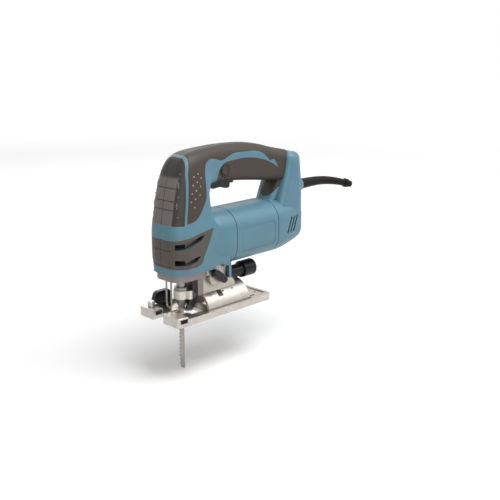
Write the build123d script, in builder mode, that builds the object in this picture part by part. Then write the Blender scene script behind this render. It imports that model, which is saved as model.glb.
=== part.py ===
"""Corded jigsaw with a closed D handle, modelled as an assembly of its separate pieces.

Millimetres. The origin is where the blade's stroke axis crosses the sole. +Z is up, the nose points
to -X, and the left side of the tool is -Y.
"""
import os
from math import acos, cos, pi, radians, sin, sqrt, tan

from build123d import *

os.makedirs("parts", exist_ok=True)

# Clearances
PART_GAP = 0.2      # open line between the two clamshell halves
SEAT_GAP = 0.15     # pieces that sit in a pocket and stay there
MOVE_GAP = 0.3      # pieces that move past each other
RUN_GAP = 0.03      # shafts in their bearings

# Outer housing
NOSE_X = -31.0
REAR_X = 206.0
COVER_BOTTOM = 59.0
BARREL_Z = 91.5
BARREL_FRONT = 30.0
BARREL_HALF_W = 33.0
BARREL_HALF_H = 35.5
BARREL_CORNER = 26.0
SEAM_FRONT = 66.0
SEAM_REAR = 144.0
SPIGOT = 10.0
WALL = 3.0
SKIN = 2.2          # thickness of the overmoulded grips
LOOP_X = 40.5       # centre of the front upper corner of the handle opening
LOOP_Z = 150.5
LOOP_R = 12.5
PILLAR_CROWN = 9.0
WEB_HALF_W = 14.5
WEB_REAR = 186.0

# Motor
SPIGOT_R = BARREL_HALF_W - WALL - SEAT_GAP
BORE_R = SPIGOT_R - 2.2
FIELD_R = BORE_R - SEAT_GAP
FIELD_FRONT = 80.0
FIELD_REAR = 122.0
CORE_R = 16.0
AIR_GAP = 0.7
COIL_END = 6.0
SHAFT_R = 4.0
COMMUTATOR_R = 11.0
BEARING_W = 7.0
FRONT_BEARING_R = 11.0
REAR_BEARING_R = 9.5

# Gear train: a spur pinion cut on the armature shaft drives the crank gear above it
MODULE = 0.8
PINION_TEETH = 10
GEAR_TEETH = 50
BACKLASH = 0.2
GEAR_ADDENDUM = 0.5
GEAR_FRONT = 14.0
GEAR_W = 9.0
STROKE = 26.0
CRANK_PIN_R = 4.5
STUD_R = 5.0
CENTRES = MODULE * (PINION_TEETH + GEAR_TEETH) / 2
GEAR_Z = BARREL_Z + CENTRES
GEAR_REAR = GEAR_FRONT + GEAR_W
PITCH_R = MODULE * GEAR_TEETH / 2
PINION_R = MODULE * PINION_TEETH / 2

# Plunger and blade
ROD_R = 6.0
ROD_TOP = 156.0
YOKE_HALF_W = 20.0
YOKE_HALF_H = 8.5
YOKE_FRONT = 4.0
YOKE_REAR = GEAR_FRONT - 4.0
YOKE_Z = GEAR_Z - STROKE / 2
BUSH_R = 9.0
HOLDER_BOTTOM = 13.5
HOLDER_TOP = 37.0
HOLDER_R = 6.5
SLEEVE_R = 9.8
SLEEVE_BOTTOM = 22.0
SLEEVE_TOP = 33.0
WING_REACH = 15.5
BLADE_T = 1.3
BLADE_FRONT = -4.8
BLADE_BACK = 3.0
BLADE_TIP = -73.5
TOOTH_PITCH = 5.0
TOOTH_DEPTH = 1.7

# Gear housing
SNOUT_BOTTOM = 50.0
SNOUT_BORE = 19.0
HOUSING_HALF_W = 24.5
HOUSING_TOP = 141.0
CASE_FRONT = -13.0
CASE_REAR = 27.0
WALL_HALF_W = 21.5
WALL_TOP = 118.0
BOSS_HALF_W = 9.0
BOSS_TOP = 123.5
BOSS_REAR = 42.0
EAR_TOP = 64.0
REAR_WALL = SEAM_FRONT - SPIGOT
BRACKET_HALF_W = 18.0
BRACKET_FRONT = 12.0
BRACKET_REAR = 76.0
BRACKET_TOP = 55.5

# Base
BASE_FRONT = -38.0
BASE_REAR = 124.0
BASE_HALF_W = 38.5
SOLE_T = 4.0
RIM_H = 8.5
RIM_W = 4.0
PRONG_H = 12.0
PRONG_REAR = -22.5
SLOT_HALF_W = 9.5
WINDOW_HALF_W = 17.0
WINDOW_FRONT = 2.0
WINDOW_REAR = 21.0
SADDLE_R = 31.0
SADDLE_T = 3.5
SADDLE_FRONT = 20.0
SADDLE_REAR = 92.0
DECK_FRONT = 97.0
DECK_DEPTH = 1.2
FENCE_L = 11.0
FENCE_H = 5.2
FENCE_X = -29.0
FENCE_Z = 7.2
FENCE_SCREW_Y = 24.0
LEVER_X = 3.0
LEVER_Y = 30.0
LEVER_PIN_R = 2.5

MIN_Z = (Align.CENTER, Align.CENTER, Align.MIN)


def level_plane(z):
    """Plane at height z whose local x runs forward."""
    return Plane(origin=(0, 0, z), x_dir=(-1, 0, 0), z_dir=(0, 0, 1))


def loop_plane(angle):
    """Plane that turns about the corner of the handle opening, from level to upright."""
    turn = radians(angle)
    return Plane(
        origin=(LOOP_X, 0, LOOP_Z),
        x_dir=(-cos(turn), 0, sin(turn)),
        z_dir=(sin(turn), 0, cos(turn)),
    )


def cross_plane(x):
    """Plane across the tool at x whose local x runs up."""
    return Plane(origin=(x, 0, 0), x_dir=(0, 0, 1), z_dir=(1, 0, 0))


def side_plane(y):
    """Plane parallel to the side of the tool, seen from the left."""
    return Plane(origin=(0, y, 0), x_dir=(1, 0, 0), z_dir=(0, -1, 0))


def bar_section(plane, inner, outer, half_w, outer_r, inner_r, inset):
    """Rounded section of a moulded bar, drawn inset from the outer surface."""
    with BuildSketch(plane) as section:
        with Locations(((inner + outer) / 2, 0)):
            Rectangle(outer - inner - 2 * inset, 2 * (half_w - inset))
        fillet(section.vertices().group_by(Axis.X)[-1], outer_r - inset)
        fillet(section.vertices().group_by(Axis.X)[0], inner_r - inset)
    return section.sketch


def barrel_section(x, shrink=0.0, lift=0.0):
    """Section of the barrel at x."""
    with BuildSketch(cross_plane(x)) as section:
        with Locations((BARREL_Z + lift, 0)):
            RectangleRounded(
                2 * (BARREL_HALF_H - shrink), 2 * (BARREL_HALF_W - shrink), BARREL_CORNER - shrink
            )
    return section.sketch


def arch(inset=0.0):
    """Nose, front column and handle in one sweep of sections round the handle opening."""
    column_rear = SEAM_FRONT - 8
    sections = []
    for z, front, rear, half_w, outer_r in (
        (COVER_BOTTOM, 1.5, column_rear, 29.5, 20),
        (75, 0, column_rear, 30.5, 22),
        (92, 0, column_rear, 31, 22),
        (105, 0, 50, 31, 22),
        (117, 0.7, 37, 30, 21),
        (133, 3.6, 30, 29, 20),
    ):
        plane = level_plane(z)
        sections.append(bar_section(plane, -rear, -(NOSE_X + front), half_w, outer_r, 6, inset))
    for angle, outer, half_w, outer_r, inner_r in (
        (0, 64.9, 28, 19, 6),
        (25, 63.5, 26.5, 18, 6),
        (50, 65, 24, 17, 6),
        (70, 59, 21, 15, 7),
        (90, 57, 19, 14, 8),
    ):
        sections.append(bar_section(loop_plane(angle), LOOP_R, outer, half_w, outer_r, inner_r, inset))
    for x, low, high, half_w in (
        (75, 161.5, 208.3, 17.5),
        (105, 158.5, 206.8, 17),
        (135, 154.5, 201.7, 17),
        (165, 150, 194, 18),
        (188, 146, 187, 20),
    ):
        sections.append(bar_section(cross_plane(x), low, high, half_w, 14, 10, inset))
    with BuildPart() as sweep_body:
        loft(sections=sections)
    return sweep_body.part


def rear_pillar(inset=0.0, crown=0.0):
    """Upright rear of the handle loop, rounded over at the top by the crown radius."""
    sections = []
    for z, front, rear, half_w in (
        (80, 148, 2, 26.5),
        (105, 151, 0, 26.5),
        (127, 158, 0, 26),
        (140, 163, 0, 25.5),
        (152, 167.5, 0.5, 25),
        (170, 172.5, 2, 24.5),
        (187, 174.5, 5, 24),
    ):
        plane = level_plane(z)
        sections.append(bar_section(plane, -(REAR_X - rear), -front, half_w, 8, 16, inset))
    with BuildPart() as pillar:
        loft(sections=sections)
        if crown:
            fillet(pillar.edges().group_by(Axis.Z)[-1], crown)
    return pillar.part


def rear_web(inset=0.0):
    """Narrow web that fills the rear lower corner of the handle loop."""
    sections = []
    for z, front in ((100, 146), (127, 147.5), (140, 156), (152, 163), (168, 168)):
        sections.append(bar_section(level_plane(z), -WEB_REAR, -front, WEB_HALF_W, 7, 4, inset))
    with BuildPart() as web:
        loft(sections=sections)
    return web.part


def cylinder_x(x0, x1, y, z, radius, mode=Mode.ADD):
    """Cylinder along X between x0 and x1."""
    with Locations(Location((x0, y, z), (0, 90, 0))):
        Cylinder(radius, x1 - x0, align=MIN_Z, mode=mode)


def cylinder_y(y0, y1, x, z, radius, mode=Mode.ADD):
    """Cylinder along Y between y0 and y1."""
    with Locations(Location((x, y0, z), (-90, 0, 0))):
        Cylinder(radius, y1 - y0, align=MIN_Z, mode=mode)


def cylinder_z(z0, z1, x, y, radius, mode=Mode.ADD):
    """Cylinder along Z between z0 and z1."""
    with Locations((x, y, z0)):
        Cylinder(radius, z1 - z0, align=MIN_Z, mode=mode)


def block(x0, x1, y0, y1, z0, z1, mode=Mode.ADD):
    """Box between two corners."""
    with Locations(((x0 + x1) / 2, (y0 + y1) / 2, (z0 + z1) / 2)):
        Box(x1 - x0, y1 - y0, z1 - z0, mode=mode)


def tooth(pitch_r, base_r, root_r, tip_r, teeth):
    """One involute gear tooth on the local x axis."""
    pressure = acos(base_r / pitch_r)
    half_pitch = pi / (2 * teeth) - BACKLASH / (4 * pitch_r)
    flank = []
    for step in range(5):
        radius = max(base_r, root_r) + (tip_r - max(base_r, root_r)) * step / 4
        roll = acos(base_r / radius)
        angle = half_pitch + (tan(pressure) - pressure) - (tan(roll) - roll)
        flank.append((radius, angle))
    flank.insert(0, (root_r - MODULE / 2, flank[0][1]))
    upper = [(r * cos(a), r * sin(a)) for r, a in flank]
    lower = [(r * cos(a), -r * sin(a)) for r, a in reversed(flank)]
    with BuildSketch() as profile:
        Polygon(*upper, *lower, align=None)
    return profile.sketch


def spur(plane, axis_z, teeth, root_r, tip_r, width, start):
    """Spur gear blank with its teeth, extruded along X."""
    pitch_r = MODULE * teeth / 2
    one = tooth(pitch_r, pitch_r * cos(radians(20)), root_r, tip_r, teeth)
    with BuildPart() as gear:
        with BuildSketch(plane):
            with Locations((axis_z, 0)):
                Circle(root_r)
                with PolarLocations(0, teeth, start_angle=start):
                    add(one)
        extrude(amount=width)
    return gear.part


def left_and_right(solid, name):
    """Label and export a left piece and its mirror image."""
    solid.label = name + "_left"
    export_step(solid, "parts/" + name + "_left.step")
    twin = mirror(solid, about=Plane.XZ)
    twin.label = name + "_right"
    export_step(twin, "parts/" + name + "_right.step")


# Shapes shared by the housing halves and the overmoulds that lie in them
arch_outer = arch()
arch_inner = arch(SKIN)
pillar_outer = rear_pillar(crown=PILLAR_CROWN)
web_outer = rear_web()
web_inner = rear_web(SKIN)

# Overmoulded grip: soft material over the handle and the side of the column, with a crescent of the
# hard housing left open in it and a tongue down the front of the rear pillar
with BuildPart() as grip:
    with BuildSketch(side_plane(0)):
        with BuildLine():
            Polyline((-13.5, 123), (-9.5, 150), (-5.5, 182), (2.5, 206), (10, 215), (182, 215))
            Polyline((182, 215), (182, 140), (47, 140), (47, 168))
            Spline((47, 168), (50, 178), (58, 186), (70, 188.5), (96, 189.5), (120, 186.5), (158.5, 170))
            Polyline((158.5, 170), (150, 182), (143, 180.5), (136, 187))
            Spline((136, 187), (127, 193), (96, 197), (70, 195.5), (55, 190.5), (40, 194.5), (25.5, 190))
            Spline((25.5, 190), (21.5, 165), (18.4, 148), (14, 140), (3, 127), (-6, 123.5), (-13.5, 123))
        make_face()
    extrude(amount=BASE_HALF_W)
    add(arch_outer, mode=Mode.INTERSECT)
    add(arch_inner, mode=Mode.SUBTRACT)
    add(pillar_outer, mode=Mode.SUBTRACT)
    add(web_outer, mode=Mode.SUBTRACT)
    block(0, REAR_X, -PART_GAP / 2, BASE_HALF_W, COVER_BOTTOM, 220, mode=Mode.SUBTRACT)

with BuildPart() as tongue:
    with BuildSketch(cross_plane(SEAM_REAR)):
        with Locations((150, 0)):
            SlotOverall(40, 2 * WEB_HALF_W)
    extrude(amount=WEB_REAR - SEAM_REAR)
    add(web_outer, mode=Mode.INTERSECT)
    add(web_inner, mode=Mode.SUBTRACT)
    add(arch_outer, mode=Mode.SUBTRACT)
    add(pillar_outer, mode=Mode.SUBTRACT)
    block(0, REAR_X, -PART_GAP / 2, BASE_HALF_W, COVER_BOTTOM, 220, mode=Mode.SUBTRACT)

# Front pad and nose bumper: the two wear pads that wrap the front of the column
with BuildPart() as front_pad:
    with BuildSketch(side_plane(0)):
        with BuildLine():
            Polyline((-60, 121), (-16.5, 121), (-12.5, 150), (-8.5, 182), (-0.5, 206), (-60, 206), (-60, 121))
        make_face()
    extrude(amount=BASE_HALF_W)
    add(arch_outer, mode=Mode.INTERSECT)
    add(arch_inner, mode=Mode.SUBTRACT)
    block(-60, REAR_X, -PART_GAP / 2, BASE_HALF_W, COVER_BOTTOM, 220, mode=Mode.SUBTRACT)

with BuildPart() as vents:
    with BuildSketch(side_plane(0)):
        with BuildLine():
            Polyline((-27, 92), (-14, 92.5), (6, 99.5), (14, 106), (2, 104.5), (-14, 100), (-27, 99), (-27, 92))
        make_face()
        with BuildLine():
            Polyline((-27, 72.5), (-12, 72), (1, 75), (7, 81), (-4, 79.5), (-14, 78.5), (-27, 79.5), (-27, 72.5))
        make_face()
    extrude(amount=BASE_HALF_W)

with BuildPart() as bumper:
    with BuildSketch(side_plane(0)):
        with BuildLine():
            Polyline((-60, 103.5), (-28, 103.5), (-12, 106), (29, 113), (9, 71), (1, 67.5), (-60, 67.5), (-60, 103.5))
        make_face()
    extrude(amount=BASE_HALF_W)
    add(arch_outer, mode=Mode.INTERSECT)
    add(arch_inner, mode=Mode.SUBTRACT)
    add(vents.part, mode=Mode.SUBTRACT)
    block(-60, REAR_X, -PART_GAP / 2, BASE_HALF_W, COVER_BOTTOM, 220, mode=Mode.SUBTRACT)

# Cord entry and controls carried by the clamshell
CORD_Z = 136.5
CORD_R = 3.6
NECK_R = 7.4
FLANGE_R = 11.0
FLANGE_X = 192.0
FLANGE_W = 4.0
COLLAR_L = 15.0
DIAL_X = REAR_X - 10
DIAL_Z = 100.0
DIAL_R = 12.5
DIAL_HALF_W = 3.5
DIAL_AXLE_R = 2.5
BUTTON_X = 60.0
BUTTON_Z = 177.0
BUTTON_R = 6.0
BEZEL_R = 8.2
TRIGGER_HALF_W = 6.2
TRIGGER_PIVOT_X = 81.0
TRIGGER_PIVOT_Z = 166.0
TRIGGER_PIN_R = 2.2
TRIGGER_PIN_L = 3.0
SWITCH_FRONT = 52.0
SWITCH_REAR = 112.0
SWITCH_HALF_W = 9.0
SWITCH_BOTTOM = 174.5
SWITCH_TOP = 196.0
ORBIT_X = 40.0
ORBIT_Z = 47.5
ORBIT_REACH = 13.5
SCREW_R = 2.0
SCREW_HEAD_R = 3.7
SCREW_Y = 8.0
SCREW_SPOTS = ((34, 178), (14, 188), (122, 172), (178, 165), (192, 72))
BOARD_X = 172.0
BOARD_T = 1.6

with BuildPart() as rear_block:
    loft(
        sections=[
            barrel_section(SEAM_REAR),
            barrel_section(165, 1.5),
            barrel_section(188, 5.5, 1.0),
            barrel_section(REAR_X - 2, 8.5, 2.5),
        ]
    )
    fillet(rear_block.edges().group_by(Axis.X)[-1], 12)

# Hollows of the clamshell, each one the pocket of the piece that lies in it
with BuildPart() as hollows:
    block(
        CASE_FRONT - SEAT_GAP, CASE_REAR + SEAT_GAP, -HOUSING_HALF_W - SEAT_GAP, HOUSING_HALF_W + SEAT_GAP,
        SNOUT_BOTTOM, HOUSING_TOP + SEAT_GAP,
    )
    block(
        CASE_REAR - 1, REAR_WALL, -WALL_HALF_W - SEAT_GAP, WALL_HALF_W + SEAT_GAP,
        SNOUT_BOTTOM, WALL_TOP + SEAT_GAP,
    )
    block(
        CASE_REAR - 1, BOSS_REAR + SEAT_GAP, -BOSS_HALF_W - SEAT_GAP, BOSS_HALF_W + SEAT_GAP,
        BARREL_Z, BOSS_TOP + SEAT_GAP,
    )
    cylinder_z(HOUSING_TOP, ROD_TOP + SEAT_GAP, 0, 0, BUSH_R + 2.5 + SEAT_GAP)
    cylinder_z(HOUSING_TOP, ROD_TOP + STROKE + 3, 0, 0, ROD_R + 1.5)
    cylinder_x(SEAM_FRONT - SPIGOT, SEAM_FRONT, 0, BARREL_Z, SPIGOT_R + SEAT_GAP)
    cylinder_x(SEAM_REAR, SEAM_REAR + SPIGOT, 0, BARREL_Z, SPIGOT_R + SEAT_GAP)
    block(SEAM_REAR + SPIGOT - 1, 186, -22, 22, 72, 118)
    block(
        BOARD_X - SEAT_GAP, BOARD_X + BOARD_T + SEAT_GAP, -24 - SEAT_GAP, 24 + SEAT_GAP,
        78 - SEAT_GAP, 114 + SEAT_GAP,
    )
    cylinder_y(-DIAL_HALF_W - MOVE_GAP, DIAL_HALF_W + MOVE_GAP, DIAL_X, DIAL_Z, DIAL_R + MOVE_GAP)
    cylinder_y(-9, 9, DIAL_X, DIAL_Z, DIAL_AXLE_R + RUN_GAP)
    cylinder_x(170, FLANGE_X + 1, 0, CORD_Z, CORD_R + 0.6)
    cylinder_x(FLANGE_X - SEAT_GAP, FLANGE_X + FLANGE_W + SEAT_GAP, 0, CORD_Z, FLANGE_R + SEAT_GAP)
    cylinder_x(FLANGE_X, REAR_X + COLLAR_L + 1, 0, CORD_Z, NECK_R + SEAT_GAP)
    block(
        176 - SEAT_GAP, 186 + SEAT_GAP, -12 - SEAT_GAP, 12 + SEAT_GAP,
        124 - SEAT_GAP, CORD_Z,
    )
    block(
        SWITCH_FRONT - SEAT_GAP, SWITCH_REAR + SEAT_GAP, -SWITCH_HALF_W - SEAT_GAP,
        SWITCH_HALF_W + SEAT_GAP, SWITCH_BOTTOM - SEAT_GAP, SWITCH_TOP + SEAT_GAP,
    )

with BuildPart() as trigger_slot:
    block(44, 88, -TRIGGER_HALF_W - MOVE_GAP, TRIGGER_HALF_W + MOVE_GAP, 140, SWITCH_BOTTOM)
    cylinder_y(
        -TRIGGER_HALF_W - TRIGGER_PIN_L - MOVE_GAP, TRIGGER_HALF_W + TRIGGER_PIN_L + MOVE_GAP,
        TRIGGER_PIVOT_X, TRIGGER_PIVOT_Z, TRIGGER_PIN_R + RUN_GAP,
    )

with BuildPart() as button_hole:
    cylinder_y(-BASE_HALF_W, -SWITCH_HALF_W, BUTTON_X, BUTTON_Z, BUTTON_R + MOVE_GAP)

# Fine ring moulded round the lock button
with BuildPart() as bezel:
    cylinder_y(-BASE_HALF_W, -SWITCH_HALF_W - 7.6, BUTTON_X, BUTTON_Z, BEZEL_R)
    cylinder_y(-BASE_HALF_W, -SWITCH_HALF_W, BUTTON_X, BUTTON_Z, BEZEL_R - 0.8, mode=Mode.SUBTRACT)

with BuildPart() as screw_holes:
    for spot_x, spot_z in SCREW_SPOTS:
        cylinder_y(-SCREW_Y, SCREW_Y, spot_x, spot_z, SCREW_R + RUN_GAP)
        cylinder_y(SCREW_Y, BASE_HALF_W, spot_x, spot_z, SCREW_HEAD_R + SEAT_GAP)

# Cooling slots at the rear of each half, raked like the rear of the handle
with BuildPart() as rear_slots:
    with BuildSketch(side_plane(-BASE_HALF_W)):
        for number in range(3):
            with Locations((168 + 7 * number, 92)):
                SlotOverall(24, 3, rotation=66)
    extrude(amount=-2 * BASE_HALF_W)
    block(150, REAR_X, -20, 20, 70, 120, mode=Mode.SUBTRACT)

# The left half of the clamshell with everything that both halves share
with BuildPart() as half_shell:
    add(arch_outer)
    block(-60, 260, -PART_GAP / 2, 60, 0, 220, mode=Mode.SUBTRACT)
    for piece in (grip, front_pad, bumper, vents):
        add(piece.part, mode=Mode.SUBTRACT)

with BuildPart() as half_rear:
    add(pillar_outer)
    add(web_outer)
    add(rear_block.part)
    block(SEAM_FRONT, SEAM_REAR, -BASE_HALF_W, BASE_HALF_W, 0, BARREL_Z + BARREL_HALF_H, mode=Mode.SUBTRACT)
    with Locations(Location((REAR_X - 8, 0, CORD_Z), (0, 90, 0))):
        Cone(14, NECK_R + 1.4, COLLAR_L + 8, align=MIN_Z)
    block(-60, 260, -PART_GAP / 2, 60, 0, 220, mode=Mode.SUBTRACT)
    add(tongue.part, mode=Mode.SUBTRACT)
    add(rear_slots.part, mode=Mode.SUBTRACT)

with BuildPart() as half_barrel:
    loft(sections=[barrel_section(BARREL_FRONT, 2.6), barrel_section(44, 0.6), barrel_section(SEAM_FRONT)])
    block(-60, 260, -PART_GAP / 2, 60, 0, 220, mode=Mode.SUBTRACT)

with BuildPart() as half:
    add(half_shell.part)
    add(half_rear.part)
    add(half_barrel.part)
    cylinder_y(-BASE_HALF_W, -20, ORBIT_X, ORBIT_Z, ORBIT_REACH + 2, mode=Mode.SUBTRACT)
    block(55.5, 59.5, -29, -22, 42, COVER_BOTTOM + 4)
    add(hollows.part, mode=Mode.SUBTRACT)
    add(trigger_slot.part, mode=Mode.SUBTRACT)

with BuildPart() as handle_left:
    add(half.part)
    add(button_hole.part, mode=Mode.SUBTRACT)
    add(screw_holes.part, mode=Mode.SUBTRACT)
handle_left.part.label = "handle_left"
export_step(handle_left.part, "parts/handle_left.step")

with BuildPart() as handle_right:
    add(mirror(half.part, about=Plane.XZ))
    add(screw_holes.part, mode=Mode.SUBTRACT)
handle_right.part.label = "handle_right"
export_step(handle_right.part, "parts/handle_right.step")

with BuildPart() as grip_left:
    add(grip.part)
    add(trigger_slot.part, mode=Mode.SUBTRACT)
    add(button_hole.part, mode=Mode.SUBTRACT)
    add(bezel.part, mode=Mode.SUBTRACT)
grip_left.part.label = "grip_left"
export_step(grip_left.part, "parts/grip_left.step")

with BuildPart() as grip_right:
    add(mirror(grip.part, about=Plane.XZ))
    add(trigger_slot.part, mode=Mode.SUBTRACT)
    add(screw_holes.part, mode=Mode.SUBTRACT)
grip_right.part.label = "grip_right"
export_step(grip_right.part, "parts/grip_right.step")

left_and_right(tongue.part, "tongue")
left_and_right(front_pad.part, "front_pad")
left_and_right(bumper.part, "nose_bumper")

# Motor housing: the barrel between the two seams, with a spigot into the clamshell at each end, a fine
# groove at each seam and a shallow bare panel on its left side
SEAM_GROOVE = 1.0
PANEL_DEPTH = 0.5
BARREL_L = SEAM_REAR - SEAM_FRONT
with BuildPart() as panel:
    with BuildSketch(side_plane(-BASE_HALF_W)):
        with Locations(((SEAM_FRONT + SEAM_REAR) / 2, BARREL_Z - 3)):
            RectangleRounded(BARREL_L - 12, 32, 7)
    extrude(amount=-BASE_HALF_W)
    extrude(barrel_section(SEAM_FRONT, PANEL_DEPTH), amount=BARREL_L, mode=Mode.SUBTRACT)

with BuildPart() as motor_housing:
    extrude(barrel_section(SEAM_FRONT + SEAM_GROOVE), amount=BARREL_L - 2 * SEAM_GROOVE)
    extrude(barrel_section(SEAM_FRONT, SEAM_GROOVE), amount=BARREL_L)
    add(panel.part, mode=Mode.SUBTRACT)
    cylinder_x(SEAM_FRONT - SPIGOT, SEAM_REAR + SPIGOT, 0, BARREL_Z, SPIGOT_R)
    cylinder_x(SEAM_FRONT - SPIGOT, SEAM_REAR + SPIGOT, 0, BARREL_Z, BORE_R, mode=Mode.SUBTRACT)
motor_housing.part.label = "motor_housing"
export_step(motor_housing.part, "parts/motor_housing.step")

# Field: laminated core with two poles, and one coil round each pole
POLE_R = CORE_R + AIR_GAP
SLOT_IN = POLE_R + 1.2
SLOT_OUT = FIELD_R - 3.0
SLOT_ANGLE = 30.0
COIL_GAP = 2.5


def ring_sector(plane, inner_r, outer_r, start, sweep):
    """Sector of a ring about the motor axis, angles measured from straight up."""
    with BuildSketch(plane) as sector:
        with BuildLine(Plane.XY):
            a0 = radians(start)
            a1 = radians(start + sweep)
            am = (a0 + a1) / 2
            p0 = (BARREL_Z + inner_r * cos(a0), inner_r * sin(a0))
            p1 = (BARREL_Z + outer_r * cos(a0), outer_r * sin(a0))
            pm = (BARREL_Z + outer_r * cos(am), outer_r * sin(am))
            p2 = (BARREL_Z + outer_r * cos(a1), outer_r * sin(a1))
            p3 = (BARREL_Z + inner_r * cos(a1), inner_r * sin(a1))
            pn = (BARREL_Z + inner_r * cos(am), inner_r * sin(am))
            Line(p0, p1)
            ThreePointArc(p1, pm, p2)
            Line(p2, p3)
            ThreePointArc(p3, pn, p0)
        make_face()
    return sector.sketch


FIELD_L = FIELD_REAR - FIELD_FRONT
with BuildPart() as field_core:
    cylinder_x(FIELD_FRONT, FIELD_REAR, 0, BARREL_Z, FIELD_R)
    cylinder_x(FIELD_FRONT, FIELD_REAR, 0, BARREL_Z, POLE_R, mode=Mode.SUBTRACT)
    for middle in (90, 270):
        slot = ring_sector(cross_plane(FIELD_FRONT), SLOT_IN, SLOT_OUT, middle - SLOT_ANGLE, 2 * SLOT_ANGLE)
        extrude(slot, amount=FIELD_L, mode=Mode.SUBTRACT)
field_core.part.label = "field_core"
export_step(field_core.part, "parts/field_core.step")

with BuildPart() as field_coils:
    for middle in (0, 180):
        wound = ring_sector(
            cross_plane(FIELD_FRONT - COIL_END), SLOT_IN + SEAT_GAP, SLOT_OUT - SEAT_GAP,
            middle - 90 + COIL_GAP, 180 - 2 * COIL_GAP,
        )
        extrude(wound, amount=FIELD_L + 2 * COIL_END)
        pole = ring_sector(
            cross_plane(FIELD_FRONT), SLOT_IN - 1, SLOT_OUT + 1,
            middle - 90 + SLOT_ANGLE - 1, 180 - 2 * SLOT_ANGLE + 2,
        )
        extrude(pole, amount=FIELD_L, mode=Mode.SUBTRACT)
field_coils.part.label = "field_coils"
export_step(field_coils.part, "parts/field_coils.step")

# Armature: the shaft carries the cut pinion, slotted core, windings, commutator and fan
PINION_FRONT = GEAR_FRONT - 0.5
PINION_REAR = GEAR_REAR + 0.5
FRONT_BEARING_X = 42.0
REAR_BEARING_X = SEAM_REAR + SPIGOT
FAN_FRONT = SEAM_FRONT - SPIGOT + 2
FAN_REAR = SEAM_FRONT + 1
FAN_R = BORE_R - 2.5
COMMUTATOR_FRONT = FIELD_REAR + 11
COMMUTATOR_REAR = SEAM_REAR + 1.5
WINDING_R = CORE_R - 1.2
SLOTS = 12
BLADES = 14

with BuildPart() as armature_shaft:
    add(
        spur(
            cross_plane(PINION_FRONT), BARREL_Z, PINION_TEETH, PINION_R - GEAR_ADDENDUM - MODULE / 4,
            PINION_R + MODULE, PINION_REAR - PINION_FRONT, 0,
        )
    )
    cylinder_x(PINION_REAR, REAR_BEARING_X + BEARING_W, 0, BARREL_Z, SHAFT_R)
armature_shaft.part.label = "armature_shaft"
export_step(armature_shaft.part, "parts/armature_shaft.step")

with BuildPart() as armature_core:
    cylinder_x(FIELD_FRONT + 1, FIELD_REAR - 1, 0, BARREL_Z, CORE_R)
    cylinder_x(FIELD_FRONT + 1, FIELD_REAR - 1, 0, BARREL_Z, SHAFT_R, mode=Mode.SUBTRACT)
    with BuildSketch(cross_plane(FIELD_FRONT + 1)):
        with Locations((BARREL_Z, 0)):
            with PolarLocations(CORE_R - 3, SLOTS):
                Rectangle(8, 2.4)
    extrude(amount=FIELD_REAR - FIELD_FRONT - 2, mode=Mode.SUBTRACT)
armature_core.part.label = "armature_core"
export_step(armature_core.part, "parts/armature_core.step")

with BuildPart() as windings:
    for x0, x1 in ((FIELD_FRONT - 7, FIELD_FRONT + 1), (FIELD_REAR - 1, FIELD_REAR + 8)):
        cylinder_x(x0, x1, 0, BARREL_Z, WINDING_R)
    fillet(windings.edges().filter_by(GeomType.CIRCLE), 2.5)
    cylinder_x(FIELD_FRONT - 8, FIELD_REAR + 9, 0, BARREL_Z, SHAFT_R, mode=Mode.SUBTRACT)
windings.part.label = "armature_windings"
export_step(windings.part, "parts/armature_windings.step")

with BuildPart() as commutator:
    cylinder_x(COMMUTATOR_FRONT, COMMUTATOR_REAR, 0, BARREL_Z, COMMUTATOR_R)
    cylinder_x(COMMUTATOR_FRONT - 2.5, COMMUTATOR_FRONT, 0, BARREL_Z, COMMUTATOR_R + 1.5)
    cylinder_x(COMMUTATOR_FRONT - 3, COMMUTATOR_REAR, 0, BARREL_Z, SHAFT_R, mode=Mode.SUBTRACT)
commutator.part.label = "commutator"
export_step(commutator.part, "parts/commutator.step")

with BuildPart() as fan:
    cylinder_x(FAN_REAR - 2, FAN_REAR, 0, BARREL_Z, FAN_R)
    cylinder_x(FAN_FRONT, FAN_REAR, 0, BARREL_Z, SHAFT_R + 4)
    with BuildSketch(cross_plane(FAN_FRONT)):
        with Locations((BARREL_Z, 0)):
            with PolarLocations((FAN_R + SHAFT_R + 5) / 2, BLADES):
                Rectangle(FAN_R - SHAFT_R - 6, 1.4, rotation=18)
    extrude(amount=FAN_REAR - FAN_FRONT)
    cylinder_x(FAN_FRONT, FAN_REAR, 0, BARREL_Z, SHAFT_R, mode=Mode.SUBTRACT)
fan.part.label = "fan"
export_step(fan.part, "parts/fan.step")


def ball_bearing(x, outer_r):
    """Ball bearing about the motor axis, its shields level with the rings."""
    with BuildPart() as bearing:
        cylinder_x(x, x + BEARING_W, 0, BARREL_Z, outer_r)
        cylinder_x(x, x + BEARING_W, 0, BARREL_Z, SHAFT_R + RUN_GAP, mode=Mode.SUBTRACT)
        for face_x in (x, x + BEARING_W - 0.4):
            with BuildSketch(cross_plane(face_x)):
                with Locations((BARREL_Z, 0)):
                    Circle(outer_r - 2)
                    Circle(SHAFT_R + 2, mode=Mode.SUBTRACT)
            extrude(amount=0.4, mode=Mode.SUBTRACT)
    return bearing.part


front_bearing = ball_bearing(FRONT_BEARING_X, FRONT_BEARING_R)
front_bearing.label = "front_bearing"
export_step(front_bearing, "parts/front_bearing.step")
rear_bearing = ball_bearing(REAR_BEARING_X, REAR_BEARING_R)
rear_bearing.label = "rear_bearing"
export_step(rear_bearing, "parts/rear_bearing.step")

# Brush gear: the plate closes the rear of the barrel, carries the rear bearing and two brush holders
PLATE_FRONT = SEAM_REAR + SPIGOT - 6
HOLDER_W = 12.0
BRUSH_W = 7.0
BRUSH_H = 9.0

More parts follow.
